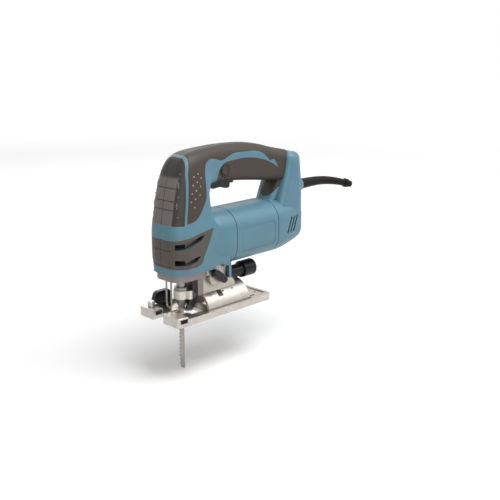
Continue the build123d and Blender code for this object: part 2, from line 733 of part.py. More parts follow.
with BuildPart() as brush_plate:
    cylinder_x(PLATE_FRONT, REAR_BEARING_X, 0, BARREL_Z, FIELD_R)
    cylinder_x(REAR_BEARING_X, REAR_BEARING_X + BEARING_W, 0, BARREL_Z, REAR_BEARING_R + WALL)
    cylinder_x(
        REAR_BEARING_X, REAR_BEARING_X + BEARING_W, 0, BARREL_Z, REAR_BEARING_R + SEAT_GAP, mode=Mode.SUBTRACT
    )
    cylinder_x(PLATE_FRONT, REAR_BEARING_X, 0, BARREL_Z, SHAFT_R + 1.5, mode=Mode.SUBTRACT)
    with BuildSketch(cross_plane(PLATE_FRONT)):
        with Locations((BARREL_Z, 0)):
            with PolarLocations(FIELD_R - 7, 4, start_angle=45):
                Circle(5)
    extrude(amount=REAR_BEARING_X - PLATE_FRONT, mode=Mode.SUBTRACT)
brush_plate.part.label = "brush_plate"
export_step(brush_plate.part, "parts/brush_plate.step")

BRUSH_X = (COMMUTATOR_FRONT + COMMUTATOR_REAR) / 2
with BuildPart() as brush_holders:
    for side in (-1, 1):
        y0 = side * (COMMUTATOR_R + 3)
        y1 = side * (FIELD_R - 1.5)
        block(BRUSH_X - 6, PLATE_FRONT, min(y0, y1), max(y0, y1), BARREL_Z - 6, BARREL_Z + 6)
    for side in (-1, 1):
        y1 = side * FIELD_R
        block(
            BRUSH_X - BRUSH_W / 2 - SEAT_GAP, BRUSH_X + BRUSH_W / 2 + SEAT_GAP, min(0, y1), max(0, y1),
            BARREL_Z - BRUSH_H / 2 - SEAT_GAP, BARREL_Z + BRUSH_H / 2 + SEAT_GAP, mode=Mode.SUBTRACT,
        )
brush_holders.part.label = "brush_holders"
export_step(brush_holders.part, "parts/brush_holders.step")

with BuildPart() as carbon_brushes:
    for side in (-1, 1):
        y1 = side * (FIELD_R - 4)
        block(
            BRUSH_X - BRUSH_W / 2, BRUSH_X + BRUSH_W / 2, min(0, y1), max(0, y1),
            BARREL_Z - BRUSH_H / 2, BARREL_Z + BRUSH_H / 2,
        )
    cylinder_x(
        BRUSH_X - BRUSH_W, BRUSH_X + BRUSH_W, 0, BARREL_Z, COMMUTATOR_R + MOVE_GAP, mode=Mode.SUBTRACT
    )
carbon_brushes.part.label = "carbon_brushes"
export_step(carbon_brushes.part, "parts/carbon_brushes.step")

# Crank gear on its stud: the pin stands on the front face, the rim is thinned opposite it as balance
GEAR_TIP = PITCH_R + GEAR_ADDENDUM
with BuildPart() as crank_gear:
    add(
        spur(
            cross_plane(GEAR_FRONT), GEAR_Z, GEAR_TEETH, PITCH_R - 1.25 * MODULE, GEAR_TIP, GEAR_W,
            180 / GEAR_TEETH,
        )
    )
    cylinder_x(GEAR_FRONT, GEAR_REAR, 0, GEAR_Z, STUD_R + RUN_GAP, mode=Mode.SUBTRACT)
    cylinder_x(YOKE_REAR + MOVE_GAP, GEAR_FRONT, 0, GEAR_Z - STROKE / 2, CRANK_PIN_R)
crank_gear.part.label = "crank_gear"
export_step(crank_gear.part, "parts/crank_gear.step")

STUD_REAR = 40.0
with BuildPart() as gear_stud:
    cylinder_x(GEAR_FRONT + 0.5, STUD_REAR, 0, GEAR_Z, STUD_R)
gear_stud.part.label = "gear_stud"
export_step(gear_stud.part, "parts/gear_stud.step")

# Plunger: the rod and its cross yoke, running in two bushes
LOWER_BUSH = 64.5
UPPER_BUSH = HOUSING_TOP - 2
YOKE_ROOM = YOKE_Z - YOKE_HALF_H - 1.5
with BuildPart() as plunger:
    cylinder_z(HOLDER_TOP, ROD_TOP, 0, 0, ROD_R)
    block(YOKE_FRONT, YOKE_REAR, -YOKE_HALF_W, YOKE_HALF_W, YOKE_Z - YOKE_HALF_H, YOKE_Z + YOKE_HALF_H)
    block(
        ROD_R + 0.5, YOKE_REAR, -YOKE_HALF_W + 2.5, YOKE_HALF_W - 2.5,
        YOKE_Z - CRANK_PIN_R - MOVE_GAP, YOKE_Z + CRANK_PIN_R + MOVE_GAP, mode=Mode.SUBTRACT,
    )
plunger.part.label = "plunger"
export_step(plunger.part, "parts/plunger.step")

with BuildPart() as bushes:
    cylinder_z(LOWER_BUSH, YOKE_ROOM - 1, 0, 0, BUSH_R)
    cylinder_z(UPPER_BUSH, ROD_TOP - 0.5, 0, 0, BUSH_R)
    cylinder_z(LOWER_BUSH, ROD_TOP, 0, 0, ROD_R + RUN_GAP, mode=Mode.SUBTRACT)
bushes.part.label = "plunger_bushes"
export_step(bushes.part, "parts/plunger_bushes.step")

# Blade holder, the turning clamp sleeve round it, and the blade
with BuildPart() as blade_holder:
    cylinder_z(SLEEVE_BOTTOM - 1, HOLDER_TOP, 0, 0, HOLDER_R)
    cylinder_z(HOLDER_BOTTOM, SLEEVE_BOTTOM - 1, 0, 0, HOLDER_R - 1.2)
    cylinder_z(SLEEVE_TOP + MOVE_GAP, HOLDER_TOP, 0, 0, HOLDER_R + 2.5)
    block(
        BLADE_FRONT - SEAT_GAP, BLADE_BACK + SEAT_GAP, -BLADE_T / 2 - SEAT_GAP, BLADE_T / 2 + SEAT_GAP,
        HOLDER_BOTTOM - 1, SLEEVE_TOP, mode=Mode.SUBTRACT,
    )
blade_holder.part.label = "blade_holder"
export_step(blade_holder.part, "parts/blade_holder.step")

WING_ANGLE = -68.0
with BuildPart() as clamp_sleeve:
    with BuildSketch(Plane.XY.offset(SLEEVE_BOTTOM)):
        Circle(SLEEVE_R)
        with Locations(Location((0, 0), WING_ANGLE)):
            with Locations((WING_REACH / 2, 0)):
                SlotOverall(WING_REACH, 7)
    extrude(amount=SLEEVE_TOP - SLEEVE_BOTTOM)
    cylinder_z(SLEEVE_BOTTOM, SLEEVE_TOP, 0, 0, HOLDER_R + RUN_GAP, mode=Mode.SUBTRACT)
clamp_sleeve.part.label = "clamp_sleeve"
export_step(clamp_sleeve.part, "parts/clamp_sleeve.step")

with BuildPart() as blade:
    with BuildSketch(side_plane(BLADE_T / 2)):
        with BuildLine():
            Polyline(
                (BLADE_FRONT + TOOTH_DEPTH, BLADE_TIP + 3), (BLADE_BACK - 1, BLADE_TIP), (BLADE_BACK, BLADE_TIP + 2),
                (BLADE_BACK, SLEEVE_TOP - 1), (BLADE_FRONT, SLEEVE_TOP - 1), (BLADE_FRONT, -2),
                (BLADE_FRONT + TOOTH_DEPTH, -2), (BLADE_FRONT + TOOTH_DEPTH, BLADE_TIP + 3),
            )
        make_face()
        for number in range(int((-2 - BLADE_TIP - 4) / TOOTH_PITCH)):
            with Locations((BLADE_FRONT + TOOTH_DEPTH, -3 - TOOTH_PITCH * number)):
                Polygon((0, 0), (-TOOTH_DEPTH, -0.8), (0, -TOOTH_PITCH * 0.8), align=None)
    extrude(amount=BLADE_T)
blade.part.label = "blade"
export_step(blade.part, "parts/blade.step")

# Gear housing: one die casting with the snout round the blade holder, the gear case, the bearing wall
# and the bracket that sits on the base
PIVOT_X = 15.0
PIVOT_Z = 25.0
PIVOT_R = 2.0
LUG_IN = 7.5
LUG_OUT = 10.5
WIRE_R = 1.2
WIRE_X = -20.0
WIRE_HALF_W = 4.5
NOZZLE_Y = -8.0
NOZZLE_Z = 40.5
NOZZLE_R = 8.5
NOZZLE_FRONT = 54.0
ORBIT_PLATE_Y = -24.0
ORBIT_PLATE_BOTTOM = 36.0
BOLT_X = 46.0
BOLT_R = 3.0
BOLT_TOP = 48.0
CAM_R = 4.0
CAM_L = 12.0

with BuildPart() as gear_housing:
    block(BRACKET_FRONT, BRACKET_REAR, -BRACKET_HALF_W, BRACKET_HALF_W, 0, BRACKET_TOP)
    with BuildSketch(side_plane(-BRACKET_HALF_W)):
        with BuildLine():
            Polyline((62, 60), (62, 48), (BRACKET_REAR, 31), (90, 31), (90, 60), (62, 60))
        make_face()
    extrude(amount=-2 * BRACKET_HALF_W, mode=Mode.SUBTRACT)
    cylinder_x(0, BASE_REAR, 0, 0, SADDLE_R + MOVE_GAP, mode=Mode.SUBTRACT)
    block(0, BASE_REAR, -BASE_HALF_W, BASE_HALF_W, -1, SADDLE_R / 2, mode=Mode.SUBTRACT)
    with BuildSketch(side_plane(1 - BRACKET_HALF_W)):
        with Locations((ORBIT_X, ORBIT_Z)):
            Circle(ORBIT_REACH)
        with Locations((ORBIT_X, ORBIT_PLATE_BOTTOM - ORBIT_REACH)):
            Rectangle(2 * ORBIT_REACH, 2 * ORBIT_REACH, mode=Mode.SUBTRACT)
    extrude(amount=1 - BRACKET_HALF_W - ORBIT_PLATE_Y)
    for side in (-1, 1):
        with Locations((PIVOT_X, side * (LUG_IN + LUG_OUT) / 2, (PIVOT_Z - 4.5 + BRACKET_TOP) / 2)):
            Box(9, LUG_OUT - LUG_IN, BRACKET_TOP - PIVOT_Z + 4.5)
    block(CASE_REAR - 1, REAR_WALL, -BRACKET_HALF_W, BRACKET_HALF_W, SNOUT_BOTTOM, EAR_TOP)
    block(CASE_REAR - 1, REAR_WALL, -WALL_HALF_W, WALL_HALF_W, EAR_TOP - 1, WALL_TOP)
    block(CASE_REAR - 1, BOSS_REAR, -BOSS_HALF_W, BOSS_HALF_W, BARREL_Z, BOSS_TOP)
    with BuildSketch(Plane.XY.offset(SNOUT_BOTTOM)) as snout_plan:
        with Locations((-2, 0)):
            Rectangle(48, 51)
        fillet(snout_plan.vertices().group_by(Axis.X)[0], 17)
        fillet(snout_plan.vertices().group_by(Axis.X)[-1], 4)
    extrude(amount=COVER_BOTTOM - SEAT_GAP - SNOUT_BOTTOM)
    block(CASE_FRONT, CASE_REAR, -HOUSING_HALF_W, HOUSING_HALF_W, SNOUT_BOTTOM + 1, HOUSING_TOP)
    cylinder_z(HOUSING_TOP, ROD_TOP, 0, 0, BUSH_R + 2.5)
    cylinder_z(SNOUT_BOTTOM - 4, LOWER_BUSH - 0.5, 0, 0, SNOUT_BORE, mode=Mode.SUBTRACT)
    cylinder_z(LOWER_BUSH - 0.5, ROD_TOP, 0, 0, BUSH_R, mode=Mode.SUBTRACT)
    block(-ROD_R - 3, GEAR_FRONT - 1, -YOKE_HALF_W - 2, YOKE_HALF_W + 2, YOKE_ROOM, HOUSING_TOP - 2.5, mode=Mode.SUBTRACT)
    cylinder_x(GEAR_FRONT - 2, GEAR_REAR + 1.2, 0, GEAR_Z, GEAR_TIP + 1.2, mode=Mode.SUBTRACT)
    cylinder_x(GEAR_FRONT - 3, REAR_WALL, 0, BARREL_Z, PINION_R + MODULE + 1, mode=Mode.SUBTRACT)
    cylinder_x(FRONT_BEARING_X, REAR_WALL, 0, BARREL_Z, FRONT_BEARING_R + SEAT_GAP, mode=Mode.SUBTRACT)
    cylinder_x(GEAR_REAR, STUD_REAR, 0, GEAR_Z, STUD_R, mode=Mode.SUBTRACT)
    cylinder_y(-LUG_OUT, LUG_OUT, PIVOT_X, PIVOT_Z, PIVOT_R, mode=Mode.SUBTRACT)
    cylinder_y(ORBIT_PLATE_Y, ORBIT_PLATE_Y + CAM_L, ORBIT_X, ORBIT_Z, CAM_R + RUN_GAP, mode=Mode.SUBTRACT)
    cylinder_x(NOZZLE_FRONT, BRACKET_REAR, NOZZLE_Y, NOZZLE_Z, NOZZLE_R + SEAT_GAP, mode=Mode.SUBTRACT)
    cylinder_z(0, BOLT_TOP, BOLT_X, 0, BOLT_R + RUN_GAP, mode=Mode.SUBTRACT)
    for side in (-1, 1):
        cylinder_z(SNOUT_BOTTOM, SNOUT_BOTTOM + 6, WIRE_X, side * WIRE_HALF_W, WIRE_R + RUN_GAP, mode=Mode.SUBTRACT)
gear_housing.part.label = "gear_housing"
export_step(gear_housing.part, "parts/gear_housing.step")

# Roller fork, hung on a pin between the lugs, and the roller that backs the blade
ROLLER_R = 6.0
ROLLER_HALF_W = 2.6
ROLLER_X = BLADE_BACK + ROLLER_R + MOVE_GAP
ROLLER_Z = 8.0
ROLLER_PIN_R = 1.8
FORK_IN = 3.2
FORK_OUT = LUG_IN - MOVE_GAP

with BuildPart() as pivot_pin:
    cylinder_y(-LUG_OUT, LUG_OUT, PIVOT_X, PIVOT_Z, PIVOT_R)
pivot_pin.part.label = "pivot_pin"
export_step(pivot_pin.part, "parts/pivot_pin.step")

with BuildPart() as roller_fork:
    with BuildSketch(side_plane(FORK_OUT)):
        with Locations((ROLLER_X, ROLLER_Z)):
            Circle(4)
        with Locations((PIVOT_X + 1, (PIVOT_Z + ROLLER_Z) / 2 - 1)):
            Circle(3)
        with Locations((PIVOT_X, PIVOT_Z)):
            Circle(3.6)
        make_hull()
    extrude(amount=2 * FORK_OUT)
    block(0, ROLLER_X + ROLLER_R + 0.6, -FORK_IN, FORK_IN, 0, PIVOT_Z + 6, mode=Mode.SUBTRACT)
    cylinder_y(-FORK_OUT, FORK_OUT, PIVOT_X, PIVOT_Z, PIVOT_R + RUN_GAP, mode=Mode.SUBTRACT)
    cylinder_y(-FORK_OUT, FORK_OUT, ROLLER_X, ROLLER_Z, ROLLER_PIN_R, mode=Mode.SUBTRACT)
roller_fork.part.label = "roller_fork"
export_step(roller_fork.part, "parts/roller_fork.step")

with BuildPart() as roller_pin:
    cylinder_y(-FORK_OUT, FORK_OUT, ROLLER_X, ROLLER_Z, ROLLER_PIN_R)
roller_pin.part.label = "roller_pin"
export_step(roller_pin.part, "parts/roller_pin.step")

with BuildPart() as roller:
    cylinder_y(-ROLLER_HALF_W, ROLLER_HALF_W, ROLLER_X, ROLLER_Z, ROLLER_R)
    cylinder_y(-ROLLER_HALF_W, ROLLER_HALF_W, ROLLER_X, ROLLER_Z, ROLLER_PIN_R + RUN_GAP, mode=Mode.SUBTRACT)
    chamfer(roller.edges().filter_by(GeomType.CIRCLE).group_by(SortBy.RADIUS)[-1], 0.8)
roller.part.label = "roller"
export_step(roller.part, "parts/roller.step")

# Orbit lever: a two-ended knob on a cam shaft through the left wall of the bracket
KNOB_Y = ORBIT_PLATE_Y - 2.0
KNOB_T = 5.5
KNOB_W = 9.4
KNOB_ANGLE = -38.0
with BuildPart() as orbit_lever:
    with BuildSketch(side_plane(KNOB_Y)):
        with Locations(Location((ORBIT_X, ORBIT_Z), KNOB_ANGLE)):
            SlotOverall(2 * ORBIT_REACH, KNOB_W)
    extrude(amount=KNOB_T)
    fillet(orbit_lever.edges().group_by(Axis.Y)[0], 1.5)
    cylinder_y(KNOB_Y, ORBIT_PLATE_Y - MOVE_GAP, ORBIT_X, ORBIT_Z, KNOB_W / 2)
    cylinder_y(KNOB_Y, ORBIT_PLATE_Y + CAM_L - MOVE_GAP, ORBIT_X, ORBIT_Z, CAM_R)
orbit_lever.part.label = "orbit_lever"
export_step(orbit_lever.part, "parts/orbit_lever.step")

# Wire guard in front of the blade: one bent wire with both ends in the snout
WIRE_BOTTOM = 14.0
with BuildPart() as wire_guard:
    with BuildLine(Plane(origin=(WIRE_X, 0, 0), x_dir=(0, 1, 0), z_dir=(1, 0, 0))) as wire_path:
        Line((-WIRE_HALF_W, SNOUT_BOTTOM + 5), (-WIRE_HALF_W, WIRE_BOTTOM + WIRE_HALF_W))
        RadiusArc((-WIRE_HALF_W, WIRE_BOTTOM + WIRE_HALF_W), (WIRE_HALF_W, WIRE_BOTTOM + WIRE_HALF_W), -WIRE_HALF_W)
        Line((WIRE_HALF_W, WIRE_BOTTOM + WIRE_HALF_W), (WIRE_HALF_W, SNOUT_BOTTOM + 5))
    with BuildSketch(Plane(origin=(WIRE_X, -WIRE_HALF_W, SNOUT_BOTTOM + 5), z_dir=(0, 0, -1))):
        Circle(WIRE_R)
    sweep(path=wire_path.wires()[0])
wire_guard.part.label = "wire_guard"
export_step(wire_guard.part, "parts/wire_guard.step")

# Dust nozzle, pushed into the rear of the bracket
NOZZLE_STEP = 96.0
NOZZLE_END = 116.0
CUFF_R = 11.0
with BuildPart() as dust_nozzle:
    cylinder_x(NOZZLE_FRONT + SEAT_GAP, NOZZLE_STEP, NOZZLE_Y, NOZZLE_Z, NOZZLE_R)
    cylinder_x(NOZZLE_STEP, NOZZLE_END, NOZZLE_Y, NOZZLE_Z, CUFF_R)
    cylinder_x(NOZZLE_FRONT, NOZZLE_END, NOZZLE_Y, NOZZLE_Z, NOZZLE_R - 1.6, mode=Mode.SUBTRACT)
    cylinder_x(NOZZLE_STEP + 2, NOZZLE_END, NOZZLE_Y, NOZZLE_Z, CUFF_R - 1.8, mode=Mode.SUBTRACT)
dust_nozzle.part.label = "dust_nozzle"
export_step(dust_nozzle.part, "parts/dust_nozzle.step")

# Base: a cast shoe with a raised rim, two prongs, and the saddle that the bracket sits on
CLAMP_GAP = 0.3
BOLT_SLOT_W = 8.0
BOLT_SLOT_ANGLE = 52.0
with BuildPart() as saddle:
    with BuildSketch(cross_plane(SADDLE_FRONT)):
        Circle(SADDLE_R)
        Circle(SADDLE_R - SADDLE_T, mode=Mode.SUBTRACT)
    extrude(amount=SADDLE_REAR - SADDLE_FRONT)
    block(SADDLE_FRONT, SADDLE_REAR, -SADDLE_R, SADDLE_R, -SADDLE_R, SOLE_T / 2, mode=Mode.SUBTRACT)

with BuildPart() as bolt_slot:
    block(BOLT_X - BOLT_SLOT_W / 2, BOLT_X + BOLT_SLOT_W / 2, -SADDLE_R, SADDLE_R, 0, SADDLE_R)
    with BuildSketch(cross_plane(BOLT_X - BOLT_SLOT_W / 2)):
        Circle(SADDLE_R + 1)
        for side in (-1, 1):
            Polygon(
                (0, 0),
                (2 * SADDLE_R * cos(radians(BOLT_SLOT_ANGLE)), side * 2 * SADDLE_R * sin(radians(BOLT_SLOT_ANGLE))),
                (-SADDLE_R, side * 2 * SADDLE_R), (-SADDLE_R, 0), align=None, mode=Mode.SUBTRACT,
            )
    extrude(amount=BOLT_SLOT_W, mode=Mode.INTERSECT)

with BuildPart() as base:
    block(BASE_FRONT, BASE_REAR, -BASE_HALF_W, BASE_HALF_W, 0, RIM_H)
    fillet(base.edges().filter_by(Axis.Z), 6)
    block(
        PRONG_REAR, SADDLE_REAR, -BASE_HALF_W + RIM_W, BASE_HALF_W - RIM_W, SOLE_T, RIM_H, mode=Mode.SUBTRACT
    )
    block(
        DECK_FRONT, BASE_REAR - RIM_W, -BASE_HALF_W + 2 * RIM_W, BASE_HALF_W - 2 * RIM_W,
        RIM_H - DECK_DEPTH, RIM_H, mode=Mode.SUBTRACT,
    )
    with BuildSketch(Plane.XY.offset(SOLE_T)) as prong_plan:
        with Locations(((BASE_FRONT + PRONG_REAR) / 2, 0)):
            Rectangle(PRONG_REAR - BASE_FRONT, 2 * BASE_HALF_W)
        fillet(prong_plan.vertices().group_by(Axis.X)[0], 6)
    extrude(amount=PRONG_H - SOLE_T)
    fillet(base.edges().group_by(Axis.Z)[-1], 1.5)
    add(saddle.part)
    add(bolt_slot.part, mode=Mode.SUBTRACT)
    block(BASE_FRONT, WINDOW_FRONT, -SLOT_HALF_W, SLOT_HALF_W, 0, PRONG_H, mode=Mode.SUBTRACT)
    block(WINDOW_FRONT, WINDOW_REAR, -WINDOW_HALF_W, WINDOW_HALF_W, 0, SOLE_T, mode=Mode.SUBTRACT)
    cylinder_z(0, SOLE_T, BOLT_X, 0, 8, mode=Mode.SUBTRACT)
    block(
        FENCE_X - FENCE_L / 2, FENCE_X + FENCE_L / 2, -BASE_HALF_W, BASE_HALF_W,
        FENCE_Z - FENCE_H / 2, FENCE_Z + FENCE_H / 2, mode=Mode.SUBTRACT,
    )
    cylinder_z(FENCE_Z, PRONG_H, FENCE_X, FENCE_SCREW_Y, SCREW_R, mode=Mode.SUBTRACT)
    cylinder_z(SOLE_T - 2 - MOVE_GAP, SOLE_T, LEVER_X, LEVER_Y, LEVER_PIN_R + RUN_GAP, mode=Mode.SUBTRACT)
base.part.label = "base"
export_step(base.part, "parts/base.step")

with BuildPart() as clamp_plate:
    with BuildSketch(cross_plane(BOLT_X - 14)):
        Circle(SADDLE_R - SADDLE_T - CLAMP_GAP)
        Circle(SADDLE_R - SADDLE_T - CLAMP_GAP - 3, mode=Mode.SUBTRACT)
    extrude(amount=28)
    block(0, BASE_REAR, -10, 10, 10, SADDLE_R, mode=Mode.INTERSECT)
    cylinder_z(0, SADDLE_R, BOLT_X, 0, BOLT_R + RUN_GAP, mode=Mode.SUBTRACT)
clamp_plate.part.label = "clamp_plate"
export_step(clamp_plate.part, "parts/clamp_plate.step")

BOLT_SEAT = sqrt((SADDLE_R - SADDLE_T - CLAMP_GAP - 3) ** 2 - 5 ** 2)
with BuildPart() as clamp_bolt:
    cylinder_z(BOLT_SEAT - 4, BOLT_TOP - 0.5, BOLT_X, 0, BOLT_R)
    with BuildSketch(Plane.XY.offset(BOLT_SEAT - 4)):
        with Locations((BOLT_X, 0)):
            RegularPolygon(5, 6)
    extrude(amount=4)
clamp_bolt.part.label = "clamp_bolt"
export_step(clamp_bolt.part, "parts/clamp_bolt.step")

# Base lever on the right wing: a chunky paddle that swings out to free the saddle
with BuildPart() as base_lever:
    with BuildSketch(side_plane(LEVER_Y - 0.5)):
        with BuildLine():
            Polyline((-13, RIM_H + 1), (-20, 14), (-16, 24), (-12, 26), (4, 26), (8, 22), (8, RIM_H + 1), (-13, RIM_H + 1))
        make_face()
    extrude(amount=-6.5)
    fillet(base_lever.edges().filter_by(Axis.Y), 1.5)
    cylinder_z(SOLE_T + MOVE_GAP, RIM_H + 2, LEVER_X, LEVER_Y, 4)
    cylinder_z(SOLE_T - 2, RIM_H, LEVER_X, LEVER_Y, LEVER_PIN_R)
base_lever.part.label = "base_lever"
export_step(base_lever.part, "parts/base_lever.step")

with BuildPart() as splinter_guard:
    block(-16, WINDOW_FRONT, -SLOT_HALF_W + SEAT_GAP, SLOT_HALF_W - SEAT_GAP, 0.2, 3.2)
    block(-11, WINDOW_FRONT, -5, 5, 0.2, 3.2, mode=Mode.SUBTRACT)
splinter_guard.part.label = "splinter_guard"
export_step(splinter_guard.part, "parts/splinter_guard.step")

with BuildPart() as fence_screw:
    cylinder_z(FENCE_Z + FENCE_H / 2, PRONG_H + 3, FENCE_X, FENCE_SCREW_Y, SCREW_R)
    cylinder_z(PRONG_H + 0.2, PRONG_H + 7, FENCE_X, FENCE_SCREW_Y, 4.5)
    chamfer(fence_screw.edges().group_by(Axis.Z)[-1], 0.8)
fence_screw.part.label = "fence_screw"
export_step(fence_screw.part, "parts/fence_screw.step")

# Controls in the handle
with BuildPart() as trigger:
    with BuildSketch(side_plane(TRIGGER_HALF_W)):
        with BuildLine():
            Polyline((79.5, 153), (80, 157.8), (86, 157.8), (86, 169), (46.5, 167.5), (46.5, 157))
            Spline((46.5, 157), (49, 154.6), (62, 154.6), (76, 151.8), (79.5, 153))
        make_face()
    extrude(amount=2 * TRIGGER_HALF_W)
    fillet(trigger.edges().group_by(Axis.Y)[0] + trigger.edges().group_by(Axis.Y)[-1], 0.6)
    cylinder_y(
        -TRIGGER_HALF_W - TRIGGER_PIN_L, TRIGGER_HALF_W + TRIGGER_PIN_L,
        TRIGGER_PIVOT_X, TRIGGER_PIVOT_Z, TRIGGER_PIN_R,
    )
trigger.part.label = "trigger"
export_step(trigger.part, "parts/trigger.step")

BUTTON_OUT = -19.6
BUTTON_TRAVEL = 2.5
with BuildPart() as lock_button:
    cylinder_y(BUTTON_OUT, -SWITCH_HALF_W - BUTTON_TRAVEL - MOVE_GAP, BUTTON_X, BUTTON_Z, BUTTON_R)
    fillet(lock_button.edges().group_by(Axis.Y)[0], 0.8)
lock_button.part.label = "lock_button"
export_step(lock_button.part, "parts/lock_button.step")

with BuildPart() as switch_body:
    block(SWITCH_FRONT, SWITCH_REAR, -SWITCH_HALF_W, SWITCH_HALF_W, SWITCH_BOTTOM, SWITCH_TOP)
    chamfer(switch_body.edges().filter_by(Axis.Z), 1.5)
switch_body.part.label = "switch_body"
export_step(switch_body.part, "parts/switch_body.step")

with BuildPart() as speed_board:
    block(BOARD_X, BOARD_X + BOARD_T, -24, 24, 78, 114)
    block(BOARD_X + BOARD_T, BOARD_X + BOARD_T + 8, -14, -2, 80, 92)
    cylinder_x(BOARD_X + BOARD_T, BOARD_X + BOARD_T + 10, 9, 86, 5)
speed_board.part.label = "speed_board"
export_step(speed_board.part, "parts/speed_board.step")

with BuildPart() as speed_dial:
    with BuildSketch(side_plane(DIAL_HALF_W)):
        with Locations((DIAL_X, DIAL_Z)):
            Circle(DIAL_R)
            with PolarLocations(DIAL_R, 24):
                Circle(0.6, mode=Mode.SUBTRACT)
    extrude(amount=2 * DIAL_HALF_W)
    cylinder_y(-9 + MOVE_GAP, 9 - MOVE_GAP, DIAL_X, DIAL_Z, DIAL_AXLE_R)
speed_dial.part.label = "speed_dial"
export_step(speed_dial.part, "parts/speed_dial.step")

with BuildPart() as cord_clamp:
    block(176, 186, -12, 12, 124, CORD_Z - 1)
    cylinder_x(176, 186, 0, CORD_Z, CORD_R + 0.2, mode=Mode.SUBTRACT)
cord_clamp.part.label = "cord_clamp"
export_step(cord_clamp.part, "parts/cord_clamp.step")

with BuildPart() as housing_screws:
    for spot_x, spot_z in SCREW_SPOTS:
        cylinder_y(-SCREW_Y + 0.5, SCREW_Y + 1, spot_x, spot_z, SCREW_R)
        cylinder_y(SCREW_Y, SCREW_Y + 2.6, spot_x, spot_z, SCREW_HEAD_R)
housing_screws.part.label = "housing_screws"
export_step(housing_screws.part, "parts/housing_screws.step")

# Cord guard: a tapered rubber sleeve that droops under its own weight, open for the cord
GUARD_ROOT = REAR_X + COLLAR_L
GUARD_L = 91.0
TIP_R = 4.7
BEAD_R = 6.2
BEAD_L = 6.0
BEAD_START = 0.93
with BuildPart() as cord_guard:
    with BuildLine() as guard_path:
        Spline(
            (GUARD_ROOT, 0, CORD_Z), (GUARD_ROOT + GUARD_L / 2, -4, CORD_Z), (GUARD_ROOT + GUARD_L, -15, CORD_Z - 9),
            tangents=((1, 0, 0), (0.93, -0.25, -0.27)),
        )
    spine = guard_path.edges()[0]
    rings = []
    for share, radius in ((0, NECK_R), (1, TIP_R)):
        with BuildSketch(Plane(origin=spine @ share, x_dir=(0, 1, 0), z_dir=spine % share)) as ring:
            Circle(radius)
        rings.append(ring.sketch)
    sweep(sections=rings, path=guard_path.wires()[0], multisection=True)
    with BuildSketch(Plane(origin=spine @ BEAD_START, x_dir=(0, 1, 0), z_dir=spine % BEAD_START)):
        Circle(BEAD_R)
    extrude(amount=BEAD_L)
    fillet(cord_guard.faces().sort_by(Axis.X)[-1].edges(), 1.5)
    with BuildSketch(Plane(origin=spine @ 0, x_dir=(0, 1, 0), z_dir=spine % 0)):
        Circle(CORD_R)
    sweep(path=guard_path.wires()[0], mode=Mode.SUBTRACT)
    cylinder_x(FLANGE_X + FLANGE_W - 1, GUARD_ROOT, 0, CORD_Z, NECK_R)
    cylinder_x(FLANGE_X, FLANGE_X + FLANGE_W, 0, CORD_Z, FLANGE_R)
    cylinder_x(FLANGE_X, GUARD_ROOT, 0, CORD_Z, CORD_R, mode=Mode.SUBTRACT)
cord_guard.part.label = "cord_guard"
export_step(cord_guard.part, "parts/cord_guard.step")
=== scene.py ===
import math

import bmesh
import bpy
from mathutils import Matrix, Vector


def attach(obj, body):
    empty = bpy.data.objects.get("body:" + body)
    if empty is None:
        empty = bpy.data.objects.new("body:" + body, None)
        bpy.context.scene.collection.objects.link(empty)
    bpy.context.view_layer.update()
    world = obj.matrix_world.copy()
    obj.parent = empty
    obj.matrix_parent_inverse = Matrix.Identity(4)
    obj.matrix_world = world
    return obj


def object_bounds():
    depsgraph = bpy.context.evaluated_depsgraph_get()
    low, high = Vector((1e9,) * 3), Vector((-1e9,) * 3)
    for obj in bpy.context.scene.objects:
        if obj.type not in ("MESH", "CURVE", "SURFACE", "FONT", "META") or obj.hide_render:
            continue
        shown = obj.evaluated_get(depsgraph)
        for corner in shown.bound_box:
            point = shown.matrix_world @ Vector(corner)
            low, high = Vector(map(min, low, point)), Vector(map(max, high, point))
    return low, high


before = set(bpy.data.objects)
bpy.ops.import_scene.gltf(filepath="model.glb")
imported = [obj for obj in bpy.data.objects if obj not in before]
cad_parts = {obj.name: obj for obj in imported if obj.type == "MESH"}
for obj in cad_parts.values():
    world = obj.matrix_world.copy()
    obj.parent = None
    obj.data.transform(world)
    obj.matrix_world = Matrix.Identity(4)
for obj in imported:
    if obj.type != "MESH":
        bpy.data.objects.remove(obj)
cad_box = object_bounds()


# Clamshell and motor barrel. Two handle halves screwed together round a motor tube, all glass-filled
# polyamide, injection moulded in a spark-eroded tool: satin with a fine even grain, a little paler where
# hands and benches have rubbed the edges, with a painted highlight along that pale rim, and painted
# shade, near black, in the depth of a slot or seam.
MM = 0.001
HOUSING_TEAL = "#4c7484"
# The worn colour goes on the rubbed edges, where it is also a painted highlight.
HOUSING_WORN_AND_HIGHLIGHT = "#7fa3ae"
POLYAMIDE_GRAIN = 0.9    # drawn coarser than the real 0.2 mm, so that it shows, as later grains are
NOISE_SPAN = {"From Min": 0.3, "From Max": 0.7}    # most of a noise lies between these
MOTTLE_SIZE = 18.0
EDGE_RADIUS = 0.7
# Edges where the bevelled normal turns from the true one take the worn colour: real rubbing and a painted
# highlight.
EDGE_RUB_AND_HIGHLIGHT = {"From Min": 0.995, "From Max": 0.8, "To Min": 0.0, "To Max": 0.75}    # rises with the bend
# Painted shade: slots and seams are mixed towards near black where nearby walls close in.
PAINTED_SLOT_SHADE_REACH = 9.0         # walls nearer than this shade each other
PAINTED_SLOT_SHADE_RAMP = {"From Min": 0.25, "From Max": 0.66, "To Min": 0.96, "To Max": 0.0}    # rises as light fails
PAINTED_SLOT_SHADE = "#0d0c0c"


def linear(colour):
    """Linear RGBA of an sRGB hex colour."""
    parts = [int(colour[i:i + 2], 16) / 255 for i in (1, 3, 5)]
    return [p / 12.92 if p <= 0.04045 else ((p + 0.055) / 1.055) ** 2.4 for p in parts] + [1.0]


